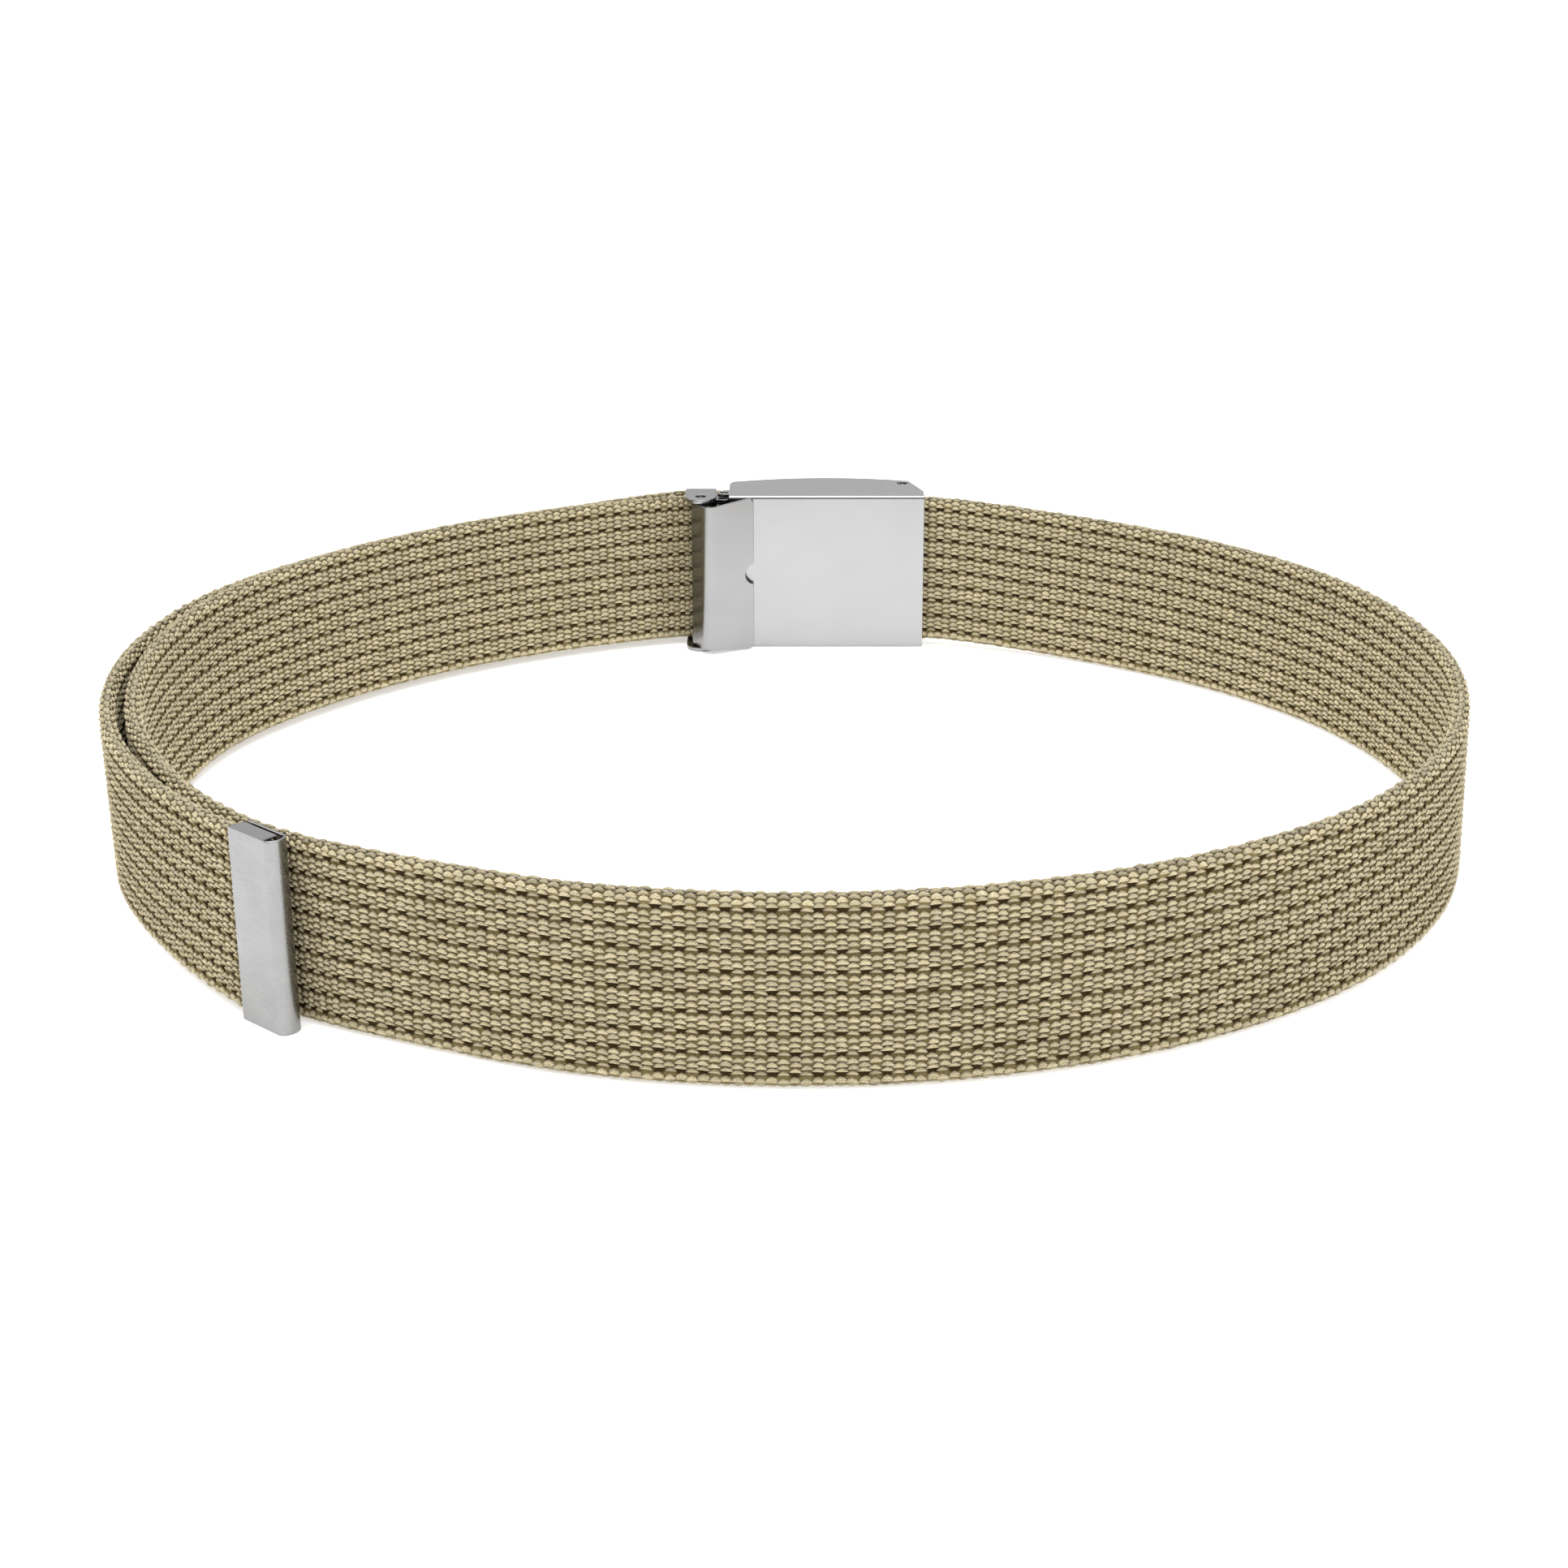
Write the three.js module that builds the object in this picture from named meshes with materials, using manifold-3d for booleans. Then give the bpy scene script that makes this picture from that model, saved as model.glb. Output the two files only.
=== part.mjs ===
// Canvas web belt: one thick ribbed strap on its edge, a steel slide buckle and a folded metal tip.
// Millimetres, +Z up, +X along the buckle, the buckle at +Y, the tip at -X and -Y.
import * as THREE from "three";
import { mergeVertices } from "three/addons/utils/BufferGeometryUtils.js";
import Module from "manifold-3d";

// Strap
const WEB_HEIGHT = 38.4;
const WEB_THICKNESS = 3.4;
const GROOVE_COUNT = 9;
const RIB_SHARE = 0.10625;
const RIB_DEPTH = 0.5;
const EDGE_SHARE = 0.6;
const SECTION_STEP = 14;
const LOOP_WIDTH = 285;
const LOOP_DEPTH = 260;
const SPAN_DIVISIONS = 40;

// Clearances between pieces
const GAP = 0.3;
const WEB_PLAY = 0.4;

// Buckle box: a bent steel channel, open at both ends
const BOX_LENGTH = 50.5;
const BOX_SHEET = 1;
const BOX_BEND = 0.9;
const INNER_BEND_SHARE = 0.4;
const BOX_CREST = 18;
const BOX_SAG = 4;
const BOX_LEFT_DEPTH = 7;
const BOX_LEFT_CORNER = 2;
const BOX_RIGHT_DEPTH = 4.7;
const BOX_RIGHT_CORNER = 3.6;
const BOX_CENTRE_SHIFT = 9.75;
const BOX_BACK_SHARE = 0.917;
const MOUTH_LEAD = 6;
const MOUTH_SWING = 1;

// Front cover, its hinge pin and the bar that grips the strap
const COVER_SHEET = 1;
const COVER_CHAMFER_REACH = 5;
const COVER_PIN_INSET = 5.3;
const PIN_RADIUS = 1.1;
const PIN_RECESS = 0.4;
const GRIP_RADIUS = 3.4;
const GRIP_PLACE = 0.66;

// Clamp that holds the strap's fixed end
const CLAMP_SHEET = 1;
const EAR_WIDTH = 8;
const SWIVEL_TO_BOX = 1.3;
const SWIVEL_PIN_RADIUS = 0.8;
const BOX_LUG_RADIUS = 1.7;
const CLAMP_LUG_RADIUS = 2.4;
const KNUCKLE_WALL = 1.1;
const FLAP_SHEET = 1;
const FLAP_BEND_RISE = 6.9;
const FLAP_BEND_ALONG = 1.6;
const FLAP_REACH = 13.6;
const FLAP_CORNER = 1.6;
const NOTCH_RADIUS = 2.9;
const NOTCH_DEPTH = 2.2;

// Tip folded round the strap's free end
const TIP_LENGTH = 10.7;
const TIP_LEAD = 13;
const TIP_FOLD_SQUASH = 0.7;
const TIP_OVERHANG = 0.8;
const TIP_SHEET = 0.6;
const TIP_SHIFT = 2;
const TIP_TURN_DEG = 10;
const TIP_LEAN = 0.015;
const TIP_CAP_SHEET = 0.5;
const TIP_CAP_SLOT = 0.7;
const TIP_CAP_END = 0.2;

const MERGE_DISTANCE = 0.0001;
const SHARPEST_MITRE = 0.5;
const ARC_STEPS = 10;
const PIN_SIDES = 20;

const wasm = await Module();
wasm.setup();

// Solids and their joins

function toManifold(geometry) {
  const bare = geometry.clone();
  bare.deleteAttribute("normal");
  bare.deleteAttribute("uv");
  const merged = mergeVertices(bare, MERGE_DISTANCE);
  return new wasm.Manifold(new wasm.Mesh({
    numProp: 3,
    vertProperties: new Float32Array(merged.attributes.position.array),
    triVerts: new Uint32Array(merged.index.array),
  }));
}

function toGeometry(solid) {
  const mesh = solid.getMesh();
  const geometry = new THREE.BufferGeometry();
  geometry.setAttribute("position", new THREE.BufferAttribute(new Float32Array(mesh.vertProperties), 3));
  geometry.setIndex(new THREE.BufferAttribute(new Uint32Array(mesh.triVerts), 1));
  return geometry;
}

function extrudeUp(shape, low, high) {
  const geometry = new THREE.ExtrudeGeometry(shape, {
    depth: high - low,
    bevelEnabled: false,
    curveSegments: ARC_STEPS,
  });
  geometry.translate(0, 0, low);
  return toManifold(geometry);
}

// The shape's x stays the length and its y becomes the height, so the extrusion runs along +Y.
function extrudeBack(shape, near, far) {
  const geometry = new THREE.ExtrudeGeometry(shape, {
    depth: far - near,
    bevelEnabled: false,
    curveSegments: ARC_STEPS,
  });
  geometry.rotateX(Math.PI / 2);
  geometry.translate(0, far, 0);
  return toManifold(geometry);
}

// The shape's x becomes the depth along Y and its y the height, so the extrusion runs along +X.
function extrudeAlong(shape, left, right) {
  const geometry = new THREE.ExtrudeGeometry(shape, {
    depth: right - left,
    bevelEnabled: false,
    curveSegments: ARC_STEPS,
  });
  geometry.rotateZ(Math.PI / 2);
  geometry.rotateY(Math.PI / 2);
  geometry.translate(left, 0, 0);
  return toManifold(geometry);
}

function upright(place, radius, low, high) {
  const shape = new THREE.Shape();
  shape.absarc(place.x, place.y, radius, 0, 2 * Math.PI, false);
  const geometry = new THREE.ExtrudeGeometry(shape, {
    depth: high - low,
    bevelEnabled: false,
    curveSegments: PIN_SIDES / 2,
  });
  geometry.translate(0, 0, low);
  return toManifold(geometry);
}

function rectangle(left, near, right, far) {
  return new THREE.Shape([
    new THREE.Vector2(left, near),
    new THREE.Vector2(right, near),
    new THREE.Vector2(right, far),
    new THREE.Vector2(left, far),
  ]);
}

// A sheet seen edge on: the middle line and its thickness give a closed outline.
function sheetOutline(middle, thickness) {
  const left = [];
  const right = [];
  middle.forEach((point, index) => {
    const before = middle[Math.max(index - 1, 0)];
    const after = middle[Math.min(index + 1, middle.length - 1)];
    const into = point.clone().sub(before).normalize();
    const out = after.clone().sub(point).normalize();
    const first = index === 0;
    const last = index === middle.length - 1;
    const along = (first ? out : last ? into : into.clone().add(out)).normalize();
    const stretch = first || last ? 1 : 1 / Math.max(along.dot(into), SHARPEST_MITRE);
    const side = new THREE.Vector2(-along.y, along.x).multiplyScalar((thickness / 2) * stretch);
    left.push(point.clone().add(side));
    right.push(point.clone().sub(side));
  });
  return new THREE.Shape([...right, ...left.reverse()]);
}

// A corner of a middle line made round: the points of an arc between two straight runs.
function roundCorner(from, corner, to, radius) {
  const back = from.clone().sub(corner).normalize();
  const on = to.clone().sub(corner).normalize();
  const half = Math.acos(THREE.MathUtils.clamp(back.dot(on), -1, 1)) / 2;
  const reach = radius / Math.tan(half);
  const centre = corner.clone().add(back.clone().add(on).normalize().multiplyScalar(radius / Math.sin(half)));
  const first = corner.clone().add(back.clone().multiplyScalar(reach)).sub(centre);
  const last = corner.clone().add(on.clone().multiplyScalar(reach)).sub(centre);
  const turn = Math.atan2(first.cross(last), first.dot(last));
  const points = [];
  for (let step = 0; step <= ARC_STEPS / 2; step += 1) {
    const spot = first.clone().rotateAround(new THREE.Vector2(0, 0), (turn * step) / (ARC_STEPS / 2));
    points.push(spot.add(centre));
  }
  return points;
}

// Places that several pieces share
const halfWeb = WEB_THICKNESS / 2;
const webLift = BOX_SHEET + GAP;
const boxHeight = WEB_HEIGHT + 2 * webLift;
const tipHeight = WEB_HEIGHT + 2 * TIP_OVERHANG;
const boxBack = (BOX_BACK_SHARE * LOOP_DEPTH) / 2;
const boxLeft = BOX_CENTRE_SHIFT - BOX_LENGTH / 2;
const boxRight = BOX_CENTRE_SHIFT + BOX_LENGTH / 2;
const boxFront = boxBack + BOX_CREST;
const swivelPin = new THREE.Vector2(boxLeft - SWIVEL_TO_BOX, boxBack + BOX_SHEET + GAP + CLAMP_LUG_RADIUS);
const clampRight = swivelPin.x - BOX_LUG_RADIUS - GAP;
const clampLeft = clampRight - EAR_WIDTH;
const clampPin = new THREE.Vector2(clampRight - EAR_WIDTH / 2, boxBack);
const knuckleRadius = PIN_RADIUS + GAP + KNUCKLE_WALL;
const fixedY = clampPin.y + knuckleRadius + GAP + halfWeb;
const clampWallNear = fixedY + halfWeb + GAP;
const clampWallFar = clampWallNear + CLAMP_SHEET;
const passY = clampWallFar + GAP + halfWeb;
const entryY = boxBack + BOX_SHEET + WEB_PLAY + halfWeb;

// The flange's front edge: a shallow arch from end to end of the box
function archDepth(x) {
  const share = (x - BOX_CENTRE_SHIFT) / (BOX_LENGTH / 2);
  return boxFront - BOX_SAG * share * share;
}

// The strap's middle line. across and deep are shares of half the loop's width and depth, lift is a
// share of the height at which the buckle holds the strap, and lean is how far the strap's top leans
// out of the loop, as a share of its height.
const LOOP = [
  { across: -0.365, deep: 0.885, lift: 1, lean: 0 },
  { across: -0.592, deep: 0.745, lift: 1, lean: 0 },
  { across: -0.798, deep: 0.536, lift: 1, lean: 0 },
  { across: -0.937, deep: 0.296, lift: 0.95, lean: 0 },
  { across: -0.99, deep: 0, lift: 0.8, lean: 0.01 },
  { across: -0.957, deep: -0.323, lift: 0.5, lean: 0.03 },
  { across: -0.849, deep: -0.588, lift: 0.2, lean: 0.06 },
  { across: -0.752, deep: -0.733, lift: 0.1, lean: 0.045 },
  { across: -0.663, deep: -0.82, lift: 0, lean: 0.03 },
  { across: -0.5, deep: -0.914, lift: 0, lean: 0.02 },
  { across: -0.267, deep: -1.013, lift: 0, lean: 0.01 },
  { across: 0, deep: -1.049, lift: 0, lean: 0 },
  { across: 0.267, deep: -1.017, lift: 0, lean: 0 },
  { across: 0.533, deep: -0.908, lift: 0, lean: 0 },
  { across: 0.775, deep: -0.712, lift: 0, lean: 0 },
  { across: 0.936, deep: -0.452, lift: 0, lean: -0.01 },
  { across: 1.014, deep: -0.138, lift: 0, lean: -0.02 },
  { across: 1.005, deep: 0.14, lift: 0, lean: -0.01 },
  { across: 0.914, deep: 0.422, lift: 0, lean: 0 },
  { across: 0.737, deep: 0.662, lift: 0, lean: 0 },
  { across: 0.512, deep: 0.837, lift: 0.1, lean: 0 },
];

// The tail outside the fixed layer: which row of LOOP it follows, its gap in strap thicknesses and its
// lift, which the tip needs to stand level with the strap.
const TAIL = [
  { row: 0, gap: 0.18, lift: 0.3 },
  { row: 1, gap: 0.12, lift: 0 },
  { row: 2, gap: 0.12, lift: 0 },
  { row: 3, gap: 0.3, lift: 0 },
  { row: 4, gap: 0.62, lift: 0 },
  { row: 5, gap: 0.55, lift: 0 },
  { row: 6, gap: 0.38, lift: 0.2 },
];
const TIP_ROW = 8;
const tipGap = GAP + TIP_SHEET + GAP;

function loopPoint(row) {
  const { across, deep, lift } = LOOP[row];
  return new THREE.Vector3((across * LOOP_WIDTH) / 2, (deep * LOOP_DEPTH) / 2, lift * webLift);
}

function outwardAt(row) {
  const along = loopPoint(row + 1).sub(loopPoint(Math.max(row - 1, 0))).setZ(0).normalize();
  return new THREE.Vector3(along.y, -along.x, 0);
}

// The path runs from the fixed end round the loop, through the box and on along the tail. Each stop
// is a point of the middle line with its lean.
function strapStops() {
  const fixedEnd = clampRight - CLAMP_SHEET - WEB_PLAY;
  const stops = [];
  const stop = (spot, lean) => stops.push({ spot, lean });
  stop(new THREE.Vector3(fixedEnd, fixedY, webLift), 0);
  stop(new THREE.Vector3((fixedEnd + clampLeft) / 2, fixedY, webLift), 0);
  stop(new THREE.Vector3(clampLeft, fixedY, webLift), 0);
  LOOP.forEach(({ lean }, row) => stop(loopPoint(row), lean));
  stop(new THREE.Vector3(boxRight + MOUTH_LEAD, entryY - MOUTH_SWING, webLift), 0);
  stop(new THREE.Vector3(boxRight - 2 * BOX_SHEET, entryY + GAP, webLift), 0);
  stop(new THREE.Vector3(BOX_CENTRE_SHIFT, (entryY + passY) / 2, webLift), 0);
  stop(new THREE.Vector3(boxLeft, passY, webLift), 0);
  stop(new THREE.Vector3(clampLeft - GAP, passY, webLift), 0);
  TAIL.forEach(({ row, gap, lift }) => {
    const spot = loopPoint(row).addScaledVector(outwardAt(row), WEB_THICKNESS * (1 + gap));
    stop(spot.setZ(lift * webLift), LOOP[row].lean);
  });
  const tip = tipFrame();
  [-TIP_LEAD, -TIP_LEAD / 2, 0].forEach((along) => stop(tip.at(along, 0, TIP_OVERHANG), tip.lean));
  return stops;
}

// The tip's own frame: its origin is the strap's free end, x runs on along the strap. The strap is stiff
// at its end, so the tip runs on straight and its fold stands off the layer inside it.
function tipFrame() {
  const loopOut = outwardAt(TIP_ROW);
  const loopAlong = new THREE.Vector3(-loopOut.y, loopOut.x, 0);
  const turn = -THREE.MathUtils.degToRad(TIP_TURN_DEG);
  const outward = loopOut.clone().applyAxisAngle(new THREE.Vector3(0, 0, 1), turn);
  const along = new THREE.Vector3(-outward.y, outward.x, 0);
  const origin = loopPoint(TIP_ROW).addScaledVector(loopOut, WEB_THICKNESS + tipGap);
  origin.addScaledVector(loopAlong, TIP_SHIFT - TIP_LENGTH).addScaledVector(along, TIP_LENGTH);
  const at = (x, out, z) => {
    return origin.clone().addScaledVector(along, x).addScaledVector(outward, out).setZ(z);
  };
  return { at, outward, lean: TIP_LEAN };
}

// One section of the strap: out is across its thickness, up is its height. Both faces carry ribs.
function strapSection() {
  const pitch = WEB_HEIGHT * RIB_SHARE;
  const edgeRib = (WEB_HEIGHT - (GROOVE_COUNT - 1) * pitch) / 2;
  const face = [[halfWeb * EDGE_SHARE, 0], [halfWeb, edgeRib / 2]];
  for (let groove = 0; groove < GROOVE_COUNT; groove += 1) {
    const up = edgeRib + groove * pitch;
    const crest = groove < GROOVE_COUNT - 1 ? up + pitch / 2 : WEB_HEIGHT - edgeRib / 2;
    face.push([halfWeb - RIB_DEPTH, up], [halfWeb, crest]);
  }
  face.push([halfWeb * EDGE_SHARE, WEB_HEIGHT]);
  return [...face, ...face.map(([out, up]) => [-out, up]).reverse()];
}

// Every stop gets a section of its own, and a long run between two stops is parted into equal steps.
function sectionPlaces(curve, spans) {
  const lengths = curve.getLengths(spans * SPAN_DIVISIONS);
  const places = [{ span: 0, part: 0 }];
  for (let span = 0; span < spans; span += 1) {
    const run = lengths[(span + 1) * SPAN_DIVISIONS] - lengths[span * SPAN_DIVISIONS];
    const parts = Math.ceil(run / SECTION_STEP);
    for (let step = 1; step <= parts; step += 1) places.push({ span, part: step / parts });
  }
  return places;
}

function webStrap() {
  const stops = strapStops();
  const curve = new THREE.CatmullRomCurve3(stops.map(({ spot }) => spot), false, "centripetal");
  const spans = stops.length - 1;
  const section = strapSection();
  const positions = [];
  const places = sectionPlaces(curve, spans);
  places.forEach(({ span, part }) => {
    const share = (span + part) / spans;
    const spot = curve.getPoint(share);
    const along = curve.getTangent(share).setZ(0).normalize();
    const lean = THREE.MathUtils.lerp(stops[span].lean, stops[span + 1].lean, part);
    section.forEach(([out, up]) => {
      const reach = out + lean * (up - WEB_HEIGHT / 2);
      positions.push(spot.x + along.y * reach, spot.y - along.x * reach, Math.max(spot.z, 0) + up);
    });
  });
  const steps = places.length - 1;
  const count = section.length;
  const triangles = [];
  for (let step = 0; step < steps; step += 1) {
    for (let side = 0; side < count; side += 1) {
      const next = (side + 1) % count;
      const here = step * count;
      const there = here + count;
      triangles.push(here + side, there + next, here + next, here + side, there + side, there + next);
    }
  }
  const outline = section.map(([out, up]) => new THREE.Vector2(out, up));
  THREE.ShapeUtils.triangulateShape(outline, []).forEach(([a, b, c]) => {
    triangles.push(a, b, c);
    const end = steps * count;
    triangles.push(end + a, end + c, end + b);
  });
  const geometry = new THREE.BufferGeometry();
  geometry.setAttribute("position", new THREE.Float32BufferAttribute(positions, 3));
  geometry.setIndex(triangles);
  return geometry;
}

// Buckle box
function flangeOutline() {
  const shape = new THREE.Shape();
  shape.moveTo(boxLeft, boxBack);
  shape.lineTo(boxRight, boxBack);
  shape.lineTo(boxRight, boxBack + BOX_RIGHT_DEPTH);
  const archRight = boxRight - BOX_RIGHT_CORNER;
  const archLeft = boxLeft + BOX_LEFT_CORNER;
  for (let step = 0; step <= 2 * ARC_STEPS; step += 1) {
    const x = archRight + ((archLeft - archRight) * step) / (2 * ARC_STEPS);
    shape.lineTo(x, archDepth(x));
  }
  const shoulder = archDepth(archLeft);
  shape.quadraticCurveTo(boxLeft, shoulder, boxLeft, (shoulder + boxBack + BOX_LEFT_DEPTH) / 2);
  shape.lineTo(boxLeft, boxBack);
  return shape;
}

function lugOutline() {
  const shape = new THREE.Shape();
  shape.absarc(swivelPin.x, swivelPin.y, BOX_LUG_RADIUS, Math.PI / 2, (3 * Math.PI) / 2, false);
  shape.lineTo(boxLeft + BOX_LEFT_CORNER, swivelPin.y - BOX_LUG_RADIUS);
  shape.lineTo(boxLeft + BOX_LEFT_CORNER, swivelPin.y + BOX_LUG_RADIUS);
  return shape;
}

function pinHole(pin, radius) {
  return upright(pin, radius + GAP, -BOX_SHEET, boxHeight + BOX_SHEET);
}

function channelSection(inset) {
  const near = boxBack + inset;
  const bend = inset > 0 ? BOX_BEND * INNER_BEND_SHARE : BOX_BEND;
  const far = boxFront + BOX_SHEET;
  const high = boxHeight - inset;
  const shape = new THREE.Shape();
  shape.moveTo(far, inset);
  shape.lineTo(far, high);
  shape.lineTo(near + bend, high);
  shape.quadraticCurveTo(near, high, near, high - bend);
  shape.lineTo(near, inset + bend);
  shape.quadraticCurveTo(near, inset, near + bend, inset);
  return shape;
}

const coverPin = new THREE.Vector2(boxRight - COVER_PIN_INSET, 0);
coverPin.y = archDepth(coverPin.x) - GAP - COVER_SHEET - GAP - PIN_RADIUS;

function buckleBox() {
  let solid = extrudeUp(flangeOutline(), 0, boxHeight);
  solid = solid.intersect(extrudeAlong(channelSection(0), boxLeft - BOX_SHEET, boxRight + BOX_SHEET));
  solid = solid.subtract(extrudeAlong(channelSection(BOX_SHEET), boxLeft - BOX_SHEET, boxRight + BOX_SHEET));
  [0, boxHeight - BOX_SHEET].forEach((low) => {
    solid = solid.add(extrudeUp(lugOutline(), low, low + BOX_SHEET));
  });
  solid = solid.subtract(pinHole(coverPin, PIN_RADIUS)).subtract(pinHole(swivelPin, SWIVEL_PIN_RADIUS));
  return toGeometry(solid);
}

// The cover closes the front between the flanges and stops short of the strap's mouth on the right.
function frontCover() {
  const inset = GAP + COVER_SHEET / 2;
  const left = boxLeft + BOX_LEFT_CORNER;
  const right = boxRight - BOX_RIGHT_CORNER - inset / 2;
  const middle = [];
  for (let step = 0; step <= ARC_STEPS; step += 1) {
    const x = left + ((right - left) * step) / ARC_STEPS;
    middle.push(new THREE.Vector2(x, archDepth(x) - inset));
  }
  const corner = middle[middle.length - 1];
  const fall = archDepth(boxRight - BOX_RIGHT_CORNER) - boxBack - BOX_RIGHT_DEPTH;
  const slope = BOX_RIGHT_CORNER / fall;
  middle.push(new THREE.Vector2(corner.x + COVER_CHAMFER_REACH * slope, corner.y - COVER_CHAMFER_REACH));
  const edge = BOX_SHEET + GAP;
  return toGeometry(extrudeUp(sheetOutline(middle, COVER_SHEET), edge, boxHeight - edge));
}

function throughPin(place, radius) {
  return toGeometry(upright(place, radius, PIN_RECESS, boxHeight - PIN_RECESS));
}

// The bar stands between the flanges and presses the strap towards the back plate.
function gripBar() {
  const strapY = passY + (entryY - passY) * GRIP_PLACE;
  const y = strapY + halfWeb + WEB_PLAY + GRIP_RADIUS;
  const place = new THREE.Vector2(boxLeft + BOX_LENGTH * GRIP_PLACE, y);
  const edge = BOX_SHEET + GAP;
  return toGeometry(upright(place, GRIP_RADIUS, edge, boxHeight - edge));
}

// Clamp bracket: a wall outside the strap, an ear above and below it, and lugs on the swivel pin
function clampBracket() {
  const ear = new THREE.Shape();
  ear.moveTo(clampLeft, clampWallFar);
  ear.lineTo(clampLeft, clampPin.y);
  ear.absarc(clampPin.x, clampPin.y, EAR_WIDTH / 2, Math.PI, 2 * Math.PI, false);
  ear.lineTo(clampRight, clampWallFar);
  let solid = extrudeUp(rectangle(clampLeft, clampWallNear, clampRight, clampWallFar), 0, boxHeight);
  const lug = new THREE.Shape();
  const stepLeft = clampRight - CLAMP_SHEET;
  lug.moveTo(stepLeft, swivelPin.y + CLAMP_LUG_RADIUS);
  lug.lineTo(stepLeft, swivelPin.y - CLAMP_LUG_RADIUS);
  lug.absarc(swivelPin.x, swivelPin.y, CLAMP_LUG_RADIUS, -Math.PI / 2, Math.PI / 2, false);
  const near = swivelPin.y - CLAMP_LUG_RADIUS;
  const step = rectangle(stepLeft, near, clampRight, swivelPin.y + CLAMP_LUG_RADIUS);
  const lugLow = BOX_SHEET + GAP;
  const upperEar = boxHeight - CLAMP_SHEET;
  const upperLug = upperEar - lugLow;
  solid = solid.add(extrudeUp(ear, 0, CLAMP_SHEET)).add(extrudeUp(ear, upperEar, boxHeight));
  [lugLow, upperLug].forEach((low) => {
    solid = solid.add(extrudeUp(lug, low, low + CLAMP_SHEET));
  });
  solid = solid.add(extrudeUp(step, 0, lugLow + CLAMP_SHEET));
  solid = solid.add(extrudeUp(step, upperLug, boxHeight));
  solid = solid.subtract(pinHole(clampPin, PIN_RADIUS)).subtract(pinHole(swivelPin, SWIVEL_PIN_RADIUS));
  return toGeometry(solid);
}

// Clamp flap: a lever that turns on the clamp pin, bent round it and lying back over the box
function clampFlap() {
  const bend = new THREE.Vector2(clampPin.x + FLAP_BEND_ALONG, clampPin.y - FLAP_BEND_RISE);
  const end = new THREE.Vector2(clampPin.x + FLAP_REACH, boxBack - GAP - FLAP_SHEET / 2);
  const root = new THREE.Vector2(clampPin.x - knuckleRadius + FLAP_SHEET / 2, clampPin.y);
  const middle = [root, ...roundCorner(root, bend, end, 2 * FLAP_SHEET), end];
  const low = CLAMP_SHEET + GAP;
  const high = boxHeight - low;
  const left = clampPin.x - 2 * knuckleRadius;
  const face = new THREE.Shape();
  face.moveTo(left, low);
  face.lineTo(clampRight, low);
  face.lineTo(end.x - FLAP_CORNER, GAP);
  face.quadraticCurveTo(end.x, GAP, end.x, GAP + FLAP_CORNER);
  face.lineTo(end.x, boxHeight - GAP - FLAP_CORNER);
  face.quadraticCurveTo(end.x, boxHeight - GAP, end.x - FLAP_CORNER, boxHeight - GAP);
  face.lineTo(clampRight, high);
  face.lineTo(left, high);
  const notch = new THREE.Shape();
  notch.absarc(end.x + NOTCH_RADIUS - NOTCH_DEPTH, boxHeight / 2, NOTCH_RADIUS, 0, 2 * Math.PI, false);
  const near = bend.y - FLAP_BEND_RISE;
  const far = clampPin.y + knuckleRadius;
  let solid = extrudeUp(sheetOutline(middle, FLAP_SHEET), 0, boxHeight);
  solid = solid.intersect(extrudeBack(face, near, far)).subtract(extrudeBack(notch, near, far));
  solid = solid.add(upright(clampPin, knuckleRadius, low, high)).subtract(pinHole(clampPin, PIN_RADIUS));
  return toGeometry(solid);
}

// Tip: one sheet folded round the end of the strap. Its outer side is turned in above and below the
// strap and leaves a slot before the inner side, and the fold itself is open at both ends.
function beltTip() {
  const tip = tipFrame();
  const half = halfWeb + GAP + TIP_SHEET / 2;
  const open = GAP - TIP_LENGTH;
  const middle = [];
  const start = tip.at(open, half, 0);
  middle.push(new THREE.Vector2(start.x, start.y));
  for (let step = 0; step <= ARC_STEPS; step += 1) {
    const turn = Math.PI / 2 - (Math.PI * step) / ARC_STEPS;
    const spot = tip.at(GAP + half * Math.cos(turn) * TIP_FOLD_SQUASH, half * Math.sin(turn), 0);
    middle.push(new THREE.Vector2(spot.x, spot.y));
  }
  const last = tip.at(open, -half, 0);
  middle.push(new THREE.Vector2(last.x, last.y));
  const slot = halfWeb + GAP - TIP_CAP_SLOT;
  const corners = [[open, half], [-TIP_CAP_END, half], [-TIP_CAP_END, -slot], [open, -slot]];
  const cap = new THREE.Shape(corners.map(([along, out]) => {
    const spot = tip.at(along, out, 0);
    return new THREE.Vector2(spot.x, spot.y);
  }));
  let solid = extrudeUp(sheetOutline(middle, TIP_SHEET), 0, tipHeight);
  solid = solid.add(extrudeUp(cap, 0, TIP_CAP_SHEET));
  solid = solid.add(extrudeUp(cap, tipHeight - TIP_CAP_SHEET, tipHeight));
  const geometry = toGeometry(solid);
  const positions = geometry.attributes.position;
  for (let index = 0; index < positions.count; index += 1) {
    const reach = tip.lean * (positions.getZ(index) - tipHeight / 2);
    positions.setX(index, positions.getX(index) + tip.outward.x * reach);
    positions.setY(index, positions.getY(index) + tip.outward.y * reach);
  }
  return geometry;
}

const cotton = { color: 0xb8ac80, roughness: 0.9, metalness: 0 };
const nickel = { color: 0xc4c5c7, roughness: 0.35, metalness: 1 };
const steel = { color: 0x9a9a9c, roughness: 0.45, metalness: 1 };

const belt = new THREE.Group();

function addPiece(name, geometry, finish) {
  geometry.computeVertexNormals();
  const mesh = new THREE.Mesh(geometry, new THREE.MeshStandardMaterial(finish));
  mesh.name = name;
  belt.add(mesh);
}

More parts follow.
